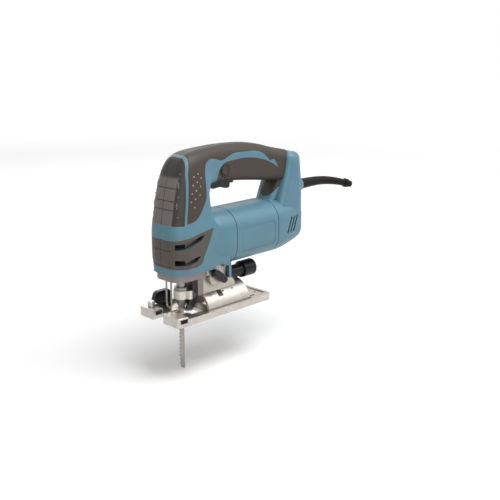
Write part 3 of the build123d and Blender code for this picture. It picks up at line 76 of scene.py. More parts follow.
def add_node(tree, kind, inputs=None, **settings):
    """Add a node with its own settings; each input takes a value or another node's socket."""
    made = tree.nodes.new(kind)
    for name, value in settings.items():
        setattr(made, name, value)
    for name, value in (inputs or {}).items():
        if isinstance(value, bpy.types.NodeSocket):
            tree.links.new(value, made.inputs[name])
        else:
            made.inputs[name].default_value = value
    return made


def blank_material(name):
    """A material with an empty node tree, and its object coordinates in metres."""
    material = bpy.data.materials.new(name)
    material.use_nodes = True
    tree = material.node_tree
    tree.nodes.clear()
    place = add_node(tree, "ShaderNodeTexCoord").outputs["Object"]
    return material, tree, place


def moulded(name, colour, worn_and_highlight, roughness, grain, depth, shine=0.5):
    """Moulded polymer: mottled colour, rubbed edges that also carry a painted highlight, painted shade in
    slots, and a grain of a size and depth in mm.
    """
    material, tree, place = blank_material(name)
    mottle = add_node(
        tree, "ShaderNodeTexNoise", {"Vector": place, "Scale": 1 / (MOTTLE_SIZE * MM), "Detail": 3.0}
    )
    skin = add_node(tree, "ShaderNodeTexNoise", {"Vector": place, "Scale": 1 / (grain * MM), "Detail": 2.0})
    soft = add_node(tree, "ShaderNodeBevel", {"Radius": EDGE_RADIUS * MM}, samples=4)
    sharp = add_node(tree, "ShaderNodeNewGeometry")
    turn = add_node(
        tree, "ShaderNodeVectorMath",
        {0: soft.outputs["Normal"], 1: sharp.outputs["Normal"]}, operation="DOT_PRODUCT",
    )
    # Painted highlight along with the wear: the turned rim takes the paler worn colour.
    rub_and_highlight = add_node(tree, "ShaderNodeMapRange", {"Value": turn.outputs["Value"]} | EDGE_RUB_AND_HIGHLIGHT)
    level = add_node(
        tree, "ShaderNodeMapRange",
        {"Value": mottle.outputs["Fac"], "To Min": 0.95, "To Max": 1.05} | NOISE_SPAN,
    )
    tone = add_node(
        tree, "ShaderNodeHueSaturation", {"Color": linear(colour), "Value": level.outputs["Result"]}
    )
    paint = add_node(
        tree, "ShaderNodeMixRGB",
        {"Fac": rub_and_highlight.outputs["Result"], "Color1": tone.outputs["Color"], "Color2": linear(worn_and_highlight)},
    )
    # Painted shade: where walls close in, the colour goes to near black.
    openness = add_node(tree, "ShaderNodeAmbientOcclusion", {"Distance": PAINTED_SLOT_SHADE_REACH * MM}, samples=8)
    shade = add_node(tree, "ShaderNodeMapRange", {"Value": openness.outputs["AO"]} | PAINTED_SLOT_SHADE_RAMP)
    paint = add_node(
        tree, "ShaderNodeMixRGB",
        {"Fac": shade.outputs["Result"], "Color1": paint.outputs["Color"], "Color2": linear(PAINTED_SLOT_SHADE)},
    )
    gloss = add_node(
        tree, "ShaderNodeMapRange",
        {"Value": mottle.outputs["Fac"],
         "To Min": roughness - 0.05, "To Max": roughness + 0.05} | NOISE_SPAN,
    )
    relief = add_node(
        tree, "ShaderNodeBump",
        {"Height": skin.outputs["Fac"], "Distance": depth * MM, "Strength": 0.5,
         "Normal": soft.outputs["Normal"]},
    )
    shader = add_node(
        tree, "ShaderNodeBsdfPrincipled",
        {"Base Color": paint.outputs["Color"], "Roughness": gloss.outputs["Result"],
         "Specular IOR Level": shine, "Normal": relief.outputs["Normal"]},
    )
    add_node(tree, "ShaderNodeOutputMaterial", {"Surface": shader.outputs["BSDF"]})
    return material


def dress(material, *names):
    """Give CAD nodes a material."""
    for name in names:
        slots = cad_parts[name].data.materials
        slots.clear()
        slots.append(material)


polyamide = moulded(
    "polyamide_spark_eroded_teal", HOUSING_TEAL, HOUSING_WORN_AND_HIGHLIGHT,
    roughness=0.42, grain=POLYAMIDE_GRAIN, depth=0.06,
)
dress(polyamide, "handle_left", "handle_right", "motor_housing")


# Soft grips and tongues. Thermoplastic elastomer moulded over the clamshell: matt, warm dark grey, with
# a pebbled skin that scatters light. Three leaning columns of small studs stand on each side, polished
# by hands, and coloured pale as a painted highlight, so that each one shows a point of light.
ELASTOMER = "#373029"
# The worn colour goes on the rubbed edges, where it is also a painted highlight.
ELASTOMER_WORN_AND_HIGHLIGHT = "#5e564e"
PEBBLE = 1.1    # drawn coarser than the real 0.4 mm, so that it shows
elastomer = moulded(
    "elastomer_overmoulded_grey", ELASTOMER, ELASTOMER_WORN_AND_HIGHLIGHT,
    roughness=0.52, grain=PEBBLE, depth=0.10, shine=0.35,
)
dress(elastomer, "grip_left", "grip_right", "tongue_left", "tongue_right")

STUD_R = 1.15
STUD_H = 0.55
STUD_PITCH = 9.7
STUD_LEAN = 0.24    # columns lean forward as they go down
STUD_TOP = (8.8, 180.4)
STUD_COLUMNS = ((-6.4, -2.8, 4), (0.0, 0.0, 5), (6.4, -5.6, 3))    # step back, rise and number of studs
OUTSIDE = 100       # lines that look for a surface start this far out


def new_piece(name, mesh_data, material, body):
    """Turn a bmesh into a piece of the object that rides on a body."""
    mesh = bpy.data.meshes.new(name)
    mesh_data.to_mesh(mesh)
    mesh_data.free()
    mesh.materials.append(material)
    piece = bpy.data.objects.new(name, mesh)
    bpy.context.scene.collection.objects.link(piece)
    for face in mesh.polygons:
        face.use_smooth = True
    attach(piece, body)


def seat(node, start, way):
    """Place where a line from a start in mm meets a node, with local Z along the surface normal."""
    found, point, normal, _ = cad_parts[node].ray_cast(Vector(start) * MM, way)
    if not found:
        return None
    return Matrix.Translation(point) @ normal.to_track_quat("Z", "Y").to_matrix().to_4x4()


def dome(mesh_data, place, radius, height, length=0.0):
    """Add a low dome at a place, drawn out along its local Y by a length, all in mm."""
    shape = Matrix.Diagonal((radius * MM, (radius + length / 2) * MM, height * MM, 1))
    bmesh.ops.create_uvsphere(mesh_data, u_segments=14, v_segments=8, radius=1, matrix=place @ shape)


# Painted highlight: the studs are coloured far paler than the grip rubber to show a point of light.
stud_painted_highlight = moulded(
    "elastomer_stud_painted_highlight", "#8d847a", "#b0a89d", roughness=0.26, grain=PEBBLE, depth=0.02
)
for side, hand in ((-1, "left"), (1, "right")):
    studs = bmesh.new()
    for step, rise, rows in STUD_COLUMNS:
        for row in range(rows):
            up = rise - row * STUD_PITCH
            start = (STUD_TOP[0] + step + STUD_LEAN * up, side * OUTSIDE, STUD_TOP[1] + up)
            place = seat("grip_" + hand, start, (0, -side, 0))
            if place:
                dome(studs, place, STUD_R, STUD_H)
    new_piece("grip_studs_" + hand, studs, stud_painted_highlight, "body")


# Front pad and nose bumper. The same elastomer over the front of the column and round the nose, where
# the tool is steadied and knocked: the pad has a paler centre panel with grooves and a row of polished
# tabs down each edge, the tabs coloured pale as a painted highlight, and the bumper two level grooves.
# The grooves are darkened with painted shade; the parting line is drawn dark as the joint of the halves.
PAD_DARK = "#2c2724"
PANEL_GREY = "#69635f"
BUMPER_GREY = "#4a443e"
PANEL_HALF_W = 17.2
PANEL_TOP = 177.0
PANEL_SIDE_FADE = 1.0
PANEL_TOP_FADE = 2.0
PANEL_GROOVES = (165.0, 150.0, 139.5)
BUMPER_GROOVES = (90.5, 70.8)
GROOVE_W = 1.3     # drawn wider than the real 0.8 mm, so that it shows
GROOVE_DEPTH = 0.6
# The grooves mix towards this colour as painted shade; the parting line takes it as a dark joint.
GROOVE_SHADE_AND_JOINT_DARK = "#1e1b19"
GROOVE_SHADE_AND_JOINT_SHARE = 0.8
PARTING_W = 1.0    # drawn wider than the real parting line of the two halves, so that it shows


def ribbed(name, edge, centre, lines_z):
    """Elastomer with a centre panel of another grey, a dark parting line, and grooves at heights in mm
    darkened with painted shade.
    """
    material = moulded(name, edge, ELASTOMER_WORN_AND_HIGHLIGHT, roughness=0.46, grain=PEBBLE, depth=0.08, shine=0.35)
    tree = material.node_tree
    shader = tree.nodes["Principled BSDF"]
    paint = shader.inputs["Base Color"].links[0].from_socket
    relief = shader.inputs["Normal"].links[0].from_socket
    place = add_node(tree, "ShaderNodeTexCoord").outputs["Object"]
    axis = add_node(tree, "ShaderNodeSeparateXYZ", {0: place})
    across = add_node(tree, "ShaderNodeMath", {0: axis.outputs["Y"]}, operation="ABSOLUTE")
    middle = add_node(
        tree, "ShaderNodeMapRange",
        {"Value": across.outputs[0], "From Min": (PANEL_HALF_W - PANEL_SIDE_FADE) * MM,
         "From Max": (PANEL_HALF_W + PANEL_SIDE_FADE) * MM, "To Min": 1.0, "To Max": 0.0},
    )
    below = add_node(
        tree, "ShaderNodeMapRange",
        {"Value": axis.outputs["Z"], "From Min": (PANEL_TOP - PANEL_TOP_FADE) * MM,
         "From Max": (PANEL_TOP + PANEL_TOP_FADE) * MM, "To Min": 1.0, "To Max": 0.0},
    )
    panel = add_node(
        tree, "ShaderNodeMath",
        {0: middle.outputs["Result"], 1: below.outputs["Result"]}, operation="MULTIPLY",
    )
    parting = add_node(
        tree, "ShaderNodeMath", {0: across.outputs[0], 1: PARTING_W / 2 * MM}, operation="LESS_THAN"
    )
    line = add_node(
        tree, "ShaderNodeMath", {0: parting.outputs[0], 1: below.outputs["Result"]}, operation="MULTIPLY"
    ).outputs[0]
    for height in lines_z:
        cut = add_node(
            tree, "ShaderNodeMath",
            {0: axis.outputs["Z"], 1: height * MM, 2: GROOVE_W / 2 * MM}, operation="COMPARE",
        )
        inside = add_node(
            tree, "ShaderNodeMath", {0: cut.outputs[0], 1: panel.outputs[0]}, operation="MULTIPLY"
        )
        line = add_node(
            tree, "ShaderNodeMath", {0: line, 1: inside.outputs[0]}, operation="MAXIMUM"
        ).outputs[0]
    paler = add_node(
        tree, "ShaderNodeMixRGB", {"Fac": panel.outputs[0], "Color1": paint, "Color2": linear(centre)}
    )
    # Painted shade in the grooves, and the dark of the parting joint.
    shade = add_node(tree, "ShaderNodeMath", {0: line, 1: GROOVE_SHADE_AND_JOINT_SHARE}, operation="MULTIPLY")
    darker = add_node(
        tree, "ShaderNodeMixRGB",
        {"Fac": shade.outputs[0], "Color1": paler.outputs["Color"], "Color2": linear(GROOVE_SHADE_AND_JOINT_DARK)},
    )
    groove = add_node(
        tree, "ShaderNodeBump",
        {"Height": line, "Distance": GROOVE_DEPTH * MM, "Strength": 1.0, "Normal": relief}, invert=True,
    )
    tree.links.new(darker.outputs["Color"], shader.inputs["Base Color"])
    tree.links.new(groove.outputs["Normal"], shader.inputs["Normal"])
    return material


grooved_pad = ribbed("elastomer_pad_grooved", PAD_DARK, PANEL_GREY, PANEL_GROOVES)
grooved_bumper = ribbed("elastomer_bumper", BUMPER_GREY, BUMPER_GREY, BUMPER_GROOVES)
dress(grooved_pad, "front_pad_left", "front_pad_right")
dress(grooved_bumper, "nose_bumper_left", "nose_bumper_right")

TAB_R = 1.0
TAB_H = 0.6
TAB_L = 6.5
TABS = (    # distance from the middle plane, height and length
    (17.4, 181.7, 0.0),
    (18.8, 169.0, TAB_L),
    (20.6, 155.5, 0.0),
    (20.4, 145.0, TAB_L),
    (22.4, 131.7, 0.0),
)
# Painted highlight: the tabs are coloured paler than the pad rubber to show points of light.
tab_painted_highlight = moulded(
    "elastomer_tab_painted_highlight", "#5b534c", "#8c847a", roughness=0.26, grain=PEBBLE, depth=0.02
)
for side, hand in ((-1, "left"), (1, "right")):
    tabs = bmesh.new()
    for out, height, length in TABS:
        place = seat("front_pad_" + hand, (-OUTSIDE, side * out, height), (1, 0, 0))
        if place:
            dome(tabs, place, TAB_R, TAB_H, length)
    new_piece("pad_tabs_" + hand, tabs, tab_painted_highlight, "body")


# Intake webs. One ribbed polyamide wall moulded across each pair of nose openings at the middle plane,
# coloured near black as painted shade, so that the openings read as dark pockets and no light passes
# from one side to the other.
WEB_X = (-27.6, -13.1)
WEB_Z = ((71.7, 79.8), (91.6, 100.3))
WEB_HALF_T = 0.8
WEB_RIBS = (-24.0, -20.0, -16.0)
WEB_RIB_HALF_W = 0.5
WEB_RIB_Y = 2.2
comb = [(WEB_X[0], WEB_HALF_T)]
for rib in WEB_RIBS:
    near, far = rib - WEB_RIB_HALF_W, rib + WEB_RIB_HALF_W
    comb += [(near, WEB_HALF_T), (near, WEB_RIB_Y), (far, WEB_RIB_Y), (far, WEB_HALF_T)]
comb.append((WEB_X[1], WEB_HALF_T))
outline = comb + [(x, -y) for x, y in reversed(comb)]
webs = bmesh.new()
for low, high in WEB_Z:
    sole = webs.faces.new([webs.verts.new(Vector((x, y, low)) * MM) for x, y in outline])
    lifted = bmesh.ops.extrude_face_region(webs, geom=[sole])["geom"]
    corners = [item for item in lifted if isinstance(item, bmesh.types.BMVert)]
    bmesh.ops.translate(webs, vec=(0, 0, (high - low) * MM), verts=corners)
bmesh.ops.recalc_face_normals(webs, faces=webs.faces)
# Painted shade: the webs are near black to stand for the dark inside of the openings.
web_painted_shade = moulded(
    "polyamide_web_painted_shade", "#141211", "#1f1c1a", roughness=0.6, grain=1.0, depth=0.02, shine=0.2
)
new_piece("intake_webs", webs, web_painted_shade, "body")


# Motor inside the barrel. Stacked electrical steel, enamelled copper windings and a copper commutator
# on the armature, run between ball bearings, with pressed carbon brushes in brass boxes. The sheets and
# wires show as fine lines across a dull sheen; the carbon and the black mouldings stay matt.
LAMINATION = 1.2    # drawn thicker than the real 0.5 mm sheet, so that it shows
WIRE_PITCH = 0.9    # drawn wider than the real 0.5 mm wire
LINE_STRETCH = 40   # a line is this many times as long as it is wide
STAIN_SIZE = 9.0
METAL_EDGE = 0.35


def metal(name, colour, roughness, line, run, depth):
    """Worked metal: lines of a width and depth in mm, stretched along the axis of working."""
    material, tree, place = blank_material(name)
    scale = [1 / (line * MM)] * 3
    scale["XYZ".index(run)] = 1 / (LINE_STRETCH * line * MM)
    along = add_node(tree, "ShaderNodeMapping", {"Vector": place, "Scale": scale})
    lines = add_node(
        tree, "ShaderNodeTexNoise", {"Vector": along.outputs["Vector"], "Scale": 1.0, "Detail": 4.0}
    )
    stain = add_node(
        tree, "ShaderNodeTexNoise", {"Vector": place, "Scale": 1 / (STAIN_SIZE * MM), "Detail": 4.0}
    )
    soft = add_node(tree, "ShaderNodeBevel", {"Radius": METAL_EDGE * MM}, samples=4)
    level = add_node(
        tree, "ShaderNodeMapRange",
        {"Value": stain.outputs["Fac"], "To Min": 0.9, "To Max": 1.06} | NOISE_SPAN,
    )
    tone = add_node(
        tree, "ShaderNodeHueSaturation", {"Color": linear(colour), "Value": level.outputs["Result"]}
    )
    gloss = add_node(
        tree, "ShaderNodeMapRange",
        {"Value": lines.outputs["Fac"],
         "To Min": roughness - 0.08, "To Max": roughness + 0.08} | NOISE_SPAN,
    )
    relief = add_node(
        tree, "ShaderNodeBump",
        {"Height": lines.outputs["Fac"], "Distance": depth * MM, "Strength": 0.4,
         "Normal": soft.outputs["Normal"]},
    )
    shader = add_node(
        tree, "ShaderNodeBsdfPrincipled",
        {"Base Color": tone.outputs["Color"], "Metallic": 1.0, "Roughness": gloss.outputs["Result"],
         "Normal": relief.outputs["Normal"]},
    )
    add_node(tree, "ShaderNodeOutputMaterial", {"Surface": shader.outputs["BSDF"]})
    return material


# Lines of turning, grinding and brushing are drawn far wider than the real ones of under 0.1 mm, so that
# they show, here and on the metals below.
sheet_steel = metal(
    "electrical_steel_stacked", "#6a6c6f", roughness=0.45, line=LAMINATION, run="Y", depth=0.05
)
wound_copper = metal(
    "copper_enamelled_wound", "#b8683a", roughness=0.32, line=WIRE_PITCH, run="X", depth=0.08
)
turned_copper = metal("copper_turned_segments", "#c07a4a", roughness=0.28, line=0.6, run="X", depth=0.03)
brass_sheet = metal("brass_pressed", "#b89a5c", roughness=0.32, line=0.5, run="X", depth=0.02)
ground_steel = metal("steel_turned_and_ground", "#8b8985", roughness=0.3, line=0.4, run="Z", depth=0.02)
pressed_carbon = moulded("carbon_pressed", "#232327", "#3b3b40", roughness=0.55, grain=0.5, depth=0.04)
black_moulding = moulded(
    "polyamide_moulded_black", "#1f1e1e", "#3d3b3a",
    roughness=0.5, grain=POLYAMIDE_GRAIN, depth=0.05, shine=0.3,
)
dress(sheet_steel, "field_core", "armature_core")
dress(wound_copper, "field_coils", "armature_windings")
dress(turned_copper, "commutator")
dress(brass_sheet, "brush_holders")
dress(ground_steel, "armature_shaft", "front_bearing", "rear_bearing")
dress(pressed_carbon, "carbon_brushes")
dress(black_moulding, "fan", "brush_plate")


# Gear housing. Die-cast aluminium, shot-blasted and left bare where it shows under the clamshell: pale
# grey with a fine sandy skin, a bright bracket and a darker nose. The crank gear and its stud are
# hardened steel, and the plunger bushes are sintered bronze.
BLAST_GRAIN = 0.8   # drawn coarser than the real 0.3 mm, so that it shows
CLOUD_SIZE = 12.0
CAST_EDGE = 0.6
# Painted shade: hollows of the castings are darkened where nearby walls close in.
HOLLOW_SHADE_REACH = 6.0
HOLLOW_SHADE_RAMP = {"From Min": 0.25, "From Max": 0.95, "To Min": 0.75, "To Max": 0.0}    # rises as light fails
NOSE_END = 21.0     # ahead of this the casting keeps its darker skin, behind it the bracket is bright
NOSE_FADE = 1.0
NOSE_GREY = "#756b6d"
NOSE_SHARE = 0.85


def cast(name, colour, roughness, grain, depth, hollow_shade_colour):
    """Blasted casting: a sandy grain of a size and depth in mm, and painted shade in the hollows."""
    material, tree, place = blank_material(name)
    sand = add_node(tree, "ShaderNodeTexNoise", {"Vector": place, "Scale": 1 / (grain * MM), "Detail": 4.0})
    cloud = add_node(
        tree, "ShaderNodeTexNoise", {"Vector": place, "Scale": 1 / (CLOUD_SIZE * MM), "Detail": 5.0}
    )
    soft = add_node(tree, "ShaderNodeBevel", {"Radius": CAST_EDGE * MM}, samples=4)
    # Painted shade in the hollows, mixed towards the given dark colour.
    openness = add_node(tree, "ShaderNodeAmbientOcclusion", {"Distance": HOLLOW_SHADE_REACH * MM}, samples=6)
    hollow_shade = add_node(tree, "ShaderNodeMapRange", {"Value": openness.outputs["AO"]} | HOLLOW_SHADE_RAMP)
    level = add_node(
        tree, "ShaderNodeMapRange",
        {"Value": cloud.outputs["Fac"], "To Min": 0.9, "To Max": 1.04} | NOISE_SPAN,
    )
    tone = add_node(
        tree, "ShaderNodeHueSaturation", {"Color": linear(colour), "Value": level.outputs["Result"]}
    )
    paint = add_node(
        tree, "ShaderNodeMixRGB",
        {"Fac": hollow_shade.outputs["Result"], "Color1": tone.outputs["Color"], "Color2": linear(hollow_shade_colour)},
    )
    gloss = add_node(
        tree, "ShaderNodeMapRange",
        {"Value": sand.outputs["Fac"],
         "To Min": roughness - 0.08, "To Max": roughness + 0.08} | NOISE_SPAN,
    )
    relief = add_node(
        tree, "ShaderNodeBump",
        {"Height": sand.outputs["Fac"], "Distance": depth * MM, "Strength": 0.5,
         "Normal": soft.outputs["Normal"]},
    )
    shader = add_node(
        tree, "ShaderNodeBsdfPrincipled",
        {"Base Color": paint.outputs["Color"], "Metallic": 0.85, "Roughness": gloss.outputs["Result"],
         "Normal": relief.outputs["Normal"]},
    )
    add_node(tree, "ShaderNodeOutputMaterial", {"Surface": shader.outputs["BSDF"]})
    return material


def darken_nose(material):
    """Give the front of a casting its darker skin."""
    tree = material.node_tree
    shader = tree.nodes["Principled BSDF"]
    bright = shader.inputs["Base Color"].links[0].from_socket
    place = add_node(tree, "ShaderNodeTexCoord").outputs["Object"]
    axis = add_node(tree, "ShaderNodeSeparateXYZ", {0: place})
    nose = add_node(
        tree, "ShaderNodeMapRange",
        {"Value": axis.outputs["X"], "From Min": (NOSE_END - NOSE_FADE) * MM,
         "From Max": (NOSE_END + NOSE_FADE) * MM, "To Min": NOSE_SHARE, "To Max": 0.0},
    )
    skin = add_node(
        tree, "ShaderNodeMixRGB",
        {"Fac": nose.outputs["Result"], "Color1": bright, "Color2": linear(NOSE_GREY)},
    )
    tree.links.new(skin.outputs["Color"], shader.inputs["Base Color"])


blasted_aluminium = cast(
    "aluminium_die_cast_blasted", "#b5aea4", roughness=0.38, grain=BLAST_GRAIN, depth=0.08, hollow_shade_colour="#2c2826"
)
darken_nose(blasted_aluminium)
sintered_bronze = metal("bronze_sintered", "#9d7f4d", roughness=0.45, line=0.5, run="Z", depth=0.03)
dress(blasted_aluminium, "gear_housing")
dress(ground_steel, "gear_stud", "crank_gear")
dress(sintered_bronze, "plunger_bushes")


# Plunger, blade holder, clamp sleeve and blade. The rod is ground steel; the sleeve is a zinc casting
# with a thumb wing, paler and smoother than the gear housing; the blade is stamped from strip, its
# teeth ground and the strip left bright, with lines along the grinding.
zinc = cast("zinc_cast_sleeve", "#cfc9bd", roughness=0.36, grain=0.9, depth=0.04, hollow_shade_colour="#3c3731")
blade_strip = metal("blade_strip_ground", "#98948e", roughness=0.34, line=0.5, run="X", depth=0.03)
dress(ground_steel, "plunger", "blade_holder")
dress(zinc, "clamp_sleeve")
dress(blade_strip, "blade")


# Blade guide and wire guard. A forged fork hung on a pin carries the hardened roller behind the blade
# and shows a dull tumbled grey; a bent spring wire, plated and glossy, stands in front of it.
forged_steel = metal("steel_forged_tumbled", "#7f7c78", roughness=0.4, line=0.8, run="Z", depth=0.05)
spring_wire = metal("spring_wire_plated", "#87837f", roughness=0.24, line=0.4, run="Z", depth=0.01)
dress(forged_steel, "roller_fork")
dress(ground_steel, "roller_pin", "roller", "pivot_pin")
dress(spring_wire, "wire_guard")


# Orbit lever. Black acetal knob on a cam shaft, moulded glossier than the housing, with a scale of
# raised black dots round it on the casting.
DOT_R = 0.8
DOT_H = 0.3
DOT_PLACES = ((42.4, 57.2), (47.4, 56.2), (50.8, 52.8), (30.2, 48.5))
gloss_black = moulded(
    "acetal_moulded_black", "#151412", "#34312e", roughness=0.28, grain=1.4, depth=0.02, shine=0.3
)
dress(gloss_black, "orbit_lever")
dots = bmesh.new()
for x, z in DOT_PLACES:
    dome(dots, seat("gear_housing", (x, -OUTSIDE, z), (0, 1, 0)), DOT_R, DOT_H)
new_piece("orbit_scale_dots", dots, black_moulding, "body")


# Dust nozzle. Black polyamide tube with a wider cuff for a hose, pushed into the rear of the bracket.
# It is moulded smooth, so that a soft highlight runs along it.
nozzle_black = moulded(
    "polyamide_moulded_smooth", "#110f0d", "#2e2a26", roughness=0.3, grain=1.2, depth=0.03, shine=0.22
)
dress(nozzle_black, "dust_nozzle")


# Base. Cast aluminium shoe, milled flat below and brushed along its length on top, so that its sheen
# runs in streaks. A cream splinter guard is pressed into the front slot; the fence screw, clamp plate
# and bolt are zinc plated, and a black paddle on the right wing swings out to free the saddle.
brushed_aluminium = metal(
    "aluminium_cast_brushed", "#bdb7b0", roughness=0.34, line=0.45, run="X", depth=0.03
)
cream_insert = moulded("acetal_moulded_cream", "#d9d1b3", "#e4dec8", roughness=0.45, grain=1.0, depth=0.03)
plated_steel = metal("steel_zinc_plated", "#b4b3ae", roughness=0.28, line=0.4, run="Z", depth=0.02)
dress(brushed_aluminium, "base")
dress(cream_insert, "splinter_guard")
dress(plated_steel, "fence_screw", "clamp_plate", "clamp_bolt")
dress(gloss_black, "base_lever")

DECK_OPENINGS = ((97.0, -28.0, 3.6, 1.1), (113.5, -18.0, 0.0, 1.5))    # x, y, half of the run, end radius
INDEX_NOTCHES = ((52.5, -20.3), (68.7, -20.3))
NOTCH_START = 24.5    # above the saddle's flank
NOTCH_HALF = 0.5
NOTCH_R = 1.1
PLUG_DEPTH = 0.4
PLUG_RISE = 0.05      # the dark mouth stands this little above the metal


def opening(mesh_data, place, half, radius):
    """Add the dark mouth of a slot or hole at a place: a thin plug with round ends, painted shade for the
    opening, in mm.
    """
    plug = bmesh.ops.create_cone(
        mesh_data, cap_ends=True, segments=24,
        radius1=radius * MM, radius2=radius * MM, depth=PLUG_DEPTH * MM,
    )["verts"]
    for corner in plug:
        corner.co.x += math.copysign(half * MM, corner.co.x)
        corner.co.z += (PLUG_RISE - PLUG_DEPTH / 2) * MM
        corner.co = place @ corner.co


mouths = bmesh.new()
for x, y, half, radius in DECK_OPENINGS:
    opening(mouths, seat("base", (x, y, OUTSIDE), (0, 0, -1)), half, radius)
for x, y in INDEX_NOTCHES:
    opening(mouths, seat("base", (x, y, NOTCH_START), (0, 0, -1)), NOTCH_HALF, NOTCH_R)
# Painted shade: the plugs are near black to stand for the unlit walls inside each opening
opening_painted_shade = moulded("painted_shade_in_openings", "#161413", "#201d1b", roughness=0.7, grain=1.0, depth=0.01)
new_piece("base_openings", mouths, opening_painted_shade, "shoe")


# Controls. Trigger and lock button are moulded in acetal, the button brown-black to sit quietly in the
# grip; the speed dial, ribbed for a thumb, the switch and the cord clamp are black polyamide, and the
# speed board is a green glass laminate.
button_brown = moulded(
    "acetal_moulded_brown_black", "#2e2823", "#544b43", roughness=0.4, grain=1.1, depth=0.03, shine=0.35
)
board_green = moulded("board_laminate_green", "#3f6047", "#5d7d63", roughness=0.4, grain=1.0, depth=0.02)
dress(gloss_black, "trigger")
dress(button_brown, "lock_button")
dress(black_moulding, "speed_dial", "switch_body", "cord_clamp")
dress(board_green, "speed_board")


# Housing screws. Zinc-plated steel, driven deep into the right half, each head with a cross recess
# drawn as dark plugs of painted shade.
SCREW_SPOTS = ((34, 178), (14, 188), (122, 172), (178, 165), (192, 72))
RECESS_HALF = 1.5
RECESS_R = 0.55
RECESS_TURNS = (math.radians(45), math.radians(-45))
dress(plated_steel, "housing_screws")
recesses = bmesh.new()
for x, z in SCREW_SPOTS:
    head = seat("housing_screws", (x, OUTSIDE, z), (0, -1, 0))
    for turn in RECESS_TURNS:
        opening(recesses, head @ Matrix.Rotation(turn, 4, "Z"), RECESS_HALF, RECESS_R)
new_piece("screw_recesses", recesses, opening_painted_shade, "body")


# Cord guard. A long tapered rubber sleeve, moulded in one and held in the collar of the clamshell,
# matt black with a faint bloom.
guard_rubber = moulded(
    "rubber_moulded_sleeve", "#16120f", "#2f2a26", roughness=0.42, grain=1.1, depth=0.06, shine=0.12
)
dress(guard_rubber, "cord_guard")


# Studio. A pale paper floor under the blade tip, in a white room that lights the tool only faintly;
# the floor and the room are white to the eye and in mirrors, and the floor keeps the tool's shadow.
FLOOR_HALF = 6.0
FLOOR_DROP = 0.4 * MM
PAPER_WHITE = "#f2f2f2"
GLOW_NEAR = (0.3, 0.06)    # distance in metres and strength: by the tool the lamps alone whiten the floor
GLOW_FAR = (3.0, 0.9)
AMBIENT = 0.24


def seen_rays(tree):
    """1 for rays that show a backdrop to the eye: straight, mirrored or through glass."""
    rays = add_node(tree, "ShaderNodeLightPath").outputs
    seen = rays["Is Camera Ray"]
    for kind in ("Is Glossy Ray", "Is Transmission Ray"):
        seen = add_node(tree, "ShaderNodeMath", {0: seen, 1: rays[kind]}, operation="MAXIMUM").outputs[0]
    return seen


paper, tree, place = blank_material("paper_backdrop_white")
reach = add_node(tree, "ShaderNodeVectorMath", {0: place}, operation="LENGTH")
fade = add_node(
    tree, "ShaderNodeMapRange",
    {"Value": reach.outputs["Value"], "From Min": GLOW_NEAR[0], "From Max": GLOW_FAR[0],
     "To Min": GLOW_NEAR[1], "To Max": GLOW_FAR[1]},
)
strength = add_node(
    tree, "ShaderNodeMath", {0: seen_rays(tree), 1: fade.outputs["Result"]}, operation="MULTIPLY"
)
sheet = add_node(tree, "ShaderNodeBsdfDiffuse", {"Color": linear(PAPER_WHITE)})
glow = add_node(tree, "ShaderNodeEmission", {"Color": linear("#ffffff"), "Strength": strength.outputs[0]})
lit = add_node(tree, "ShaderNodeAddShader", {0: sheet.outputs[0], 1: glow.outputs[0]})
add_node(tree, "ShaderNodeOutputMaterial", {"Surface": lit.outputs[0]})

floor_grid = bmesh.new()
bmesh.ops.create_grid(floor_grid, x_segments=1, y_segments=1, size=FLOOR_HALF)
floor_mesh = bpy.data.meshes.new("floor")
floor_grid.to_mesh(floor_mesh)
floor_grid.free()
floor_mesh.materials.append(paper)
floor = bpy.data.objects.new("floor", floor_mesh)
floor.location = (0, 0, cad_box[0][2] - FLOOR_DROP)
bpy.context.scene.collection.objects.link(floor)

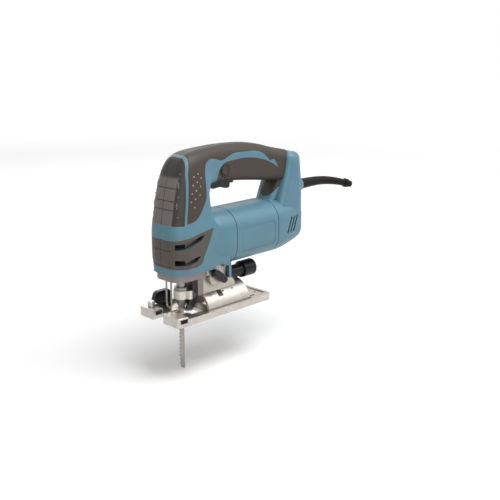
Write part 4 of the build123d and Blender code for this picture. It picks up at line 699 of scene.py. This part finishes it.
world = bpy.data.worlds.new("studio_white")
world.use_nodes = True
tree = world.node_tree
tree.nodes.clear()
level = add_node(tree, "ShaderNodeMapRange", {"Value": seen_rays(tree), "To Min": AMBIENT, "To Max": 1.0})
room = add_node(
    tree, "ShaderNodeBackground", {"Color": linear("#ffffff"), "Strength": level.outputs["Result"]}
)
add_node(tree, "ShaderNodeOutputWorld", {"Surface": room.outputs[0]})
bpy.context.scene.world = world


# Lamps. Four large white softboxes that face the tool: one overhead, one above and behind the barrel,
# a fill on the camera's side and one on the far side. Places and sizes are in metres.
TARGET = Vector((0.1228, 0.0, 0.0598))    # near the middle of the tool; lamps and camera face it
LAMPS = (    # name, place, size and watts
    ("ceiling_softbox", (0.2, -0.5, 1.5), 1.0, 24.0),
    ("barrel_softbox", (1.0, -0.7, 1.0), 0.9, 4.0),
    ("front_fill", (-0.8, -1.1, 0.5), 0.8, 6.0),
    ("back_strip", (0.6, 1.2, 0.9), 0.8, 4.0),
)
for name, place, size, watts in LAMPS:
    softbox = bpy.data.lights.new(name, "AREA")
    softbox.size = size
    softbox.energy = watts
    lamp = bpy.data.objects.new(name, softbox)
    lamp.location = place
    lamp.rotation_euler = (TARGET - Vector(place)).to_track_quat("-Z", "Y").to_euler()
    bpy.context.scene.collection.objects.link(lamp)


# Camera. It stands at the photograph's viewing angle, ahead of the nose on the left and a little above,
# and looks at the same point as the lamps.
CAMERA_TURN = 0.79644    # radians from the left side towards the front
CAMERA_RISE = math.radians(15.27)
CAMERA_DISTANCE = 1.10175
FOCAL_SHARE = 820 / 500    # focal length over the width of the picture, in pixels
SENSOR = 36.0
camera_data = bpy.data.cameras.new("camera")
camera_data.sensor_width = SENSOR
camera_data.lens = SENSOR * FOCAL_SHARE
camera = bpy.data.objects.new("camera", camera_data)
outward = Vector((
    -math.sin(CAMERA_TURN) * math.cos(CAMERA_RISE),
    -math.cos(CAMERA_TURN) * math.cos(CAMERA_RISE),
    math.sin(CAMERA_RISE),
))
camera.location = TARGET + CAMERA_DISTANCE * outward
camera.rotation_euler = (-outward).to_track_quat("-Z", "Y").to_euler()
bpy.context.scene.collection.objects.link(camera)
bpy.context.scene.camera = camera
bpy.context.scene.view_settings.view_transform = "Standard"
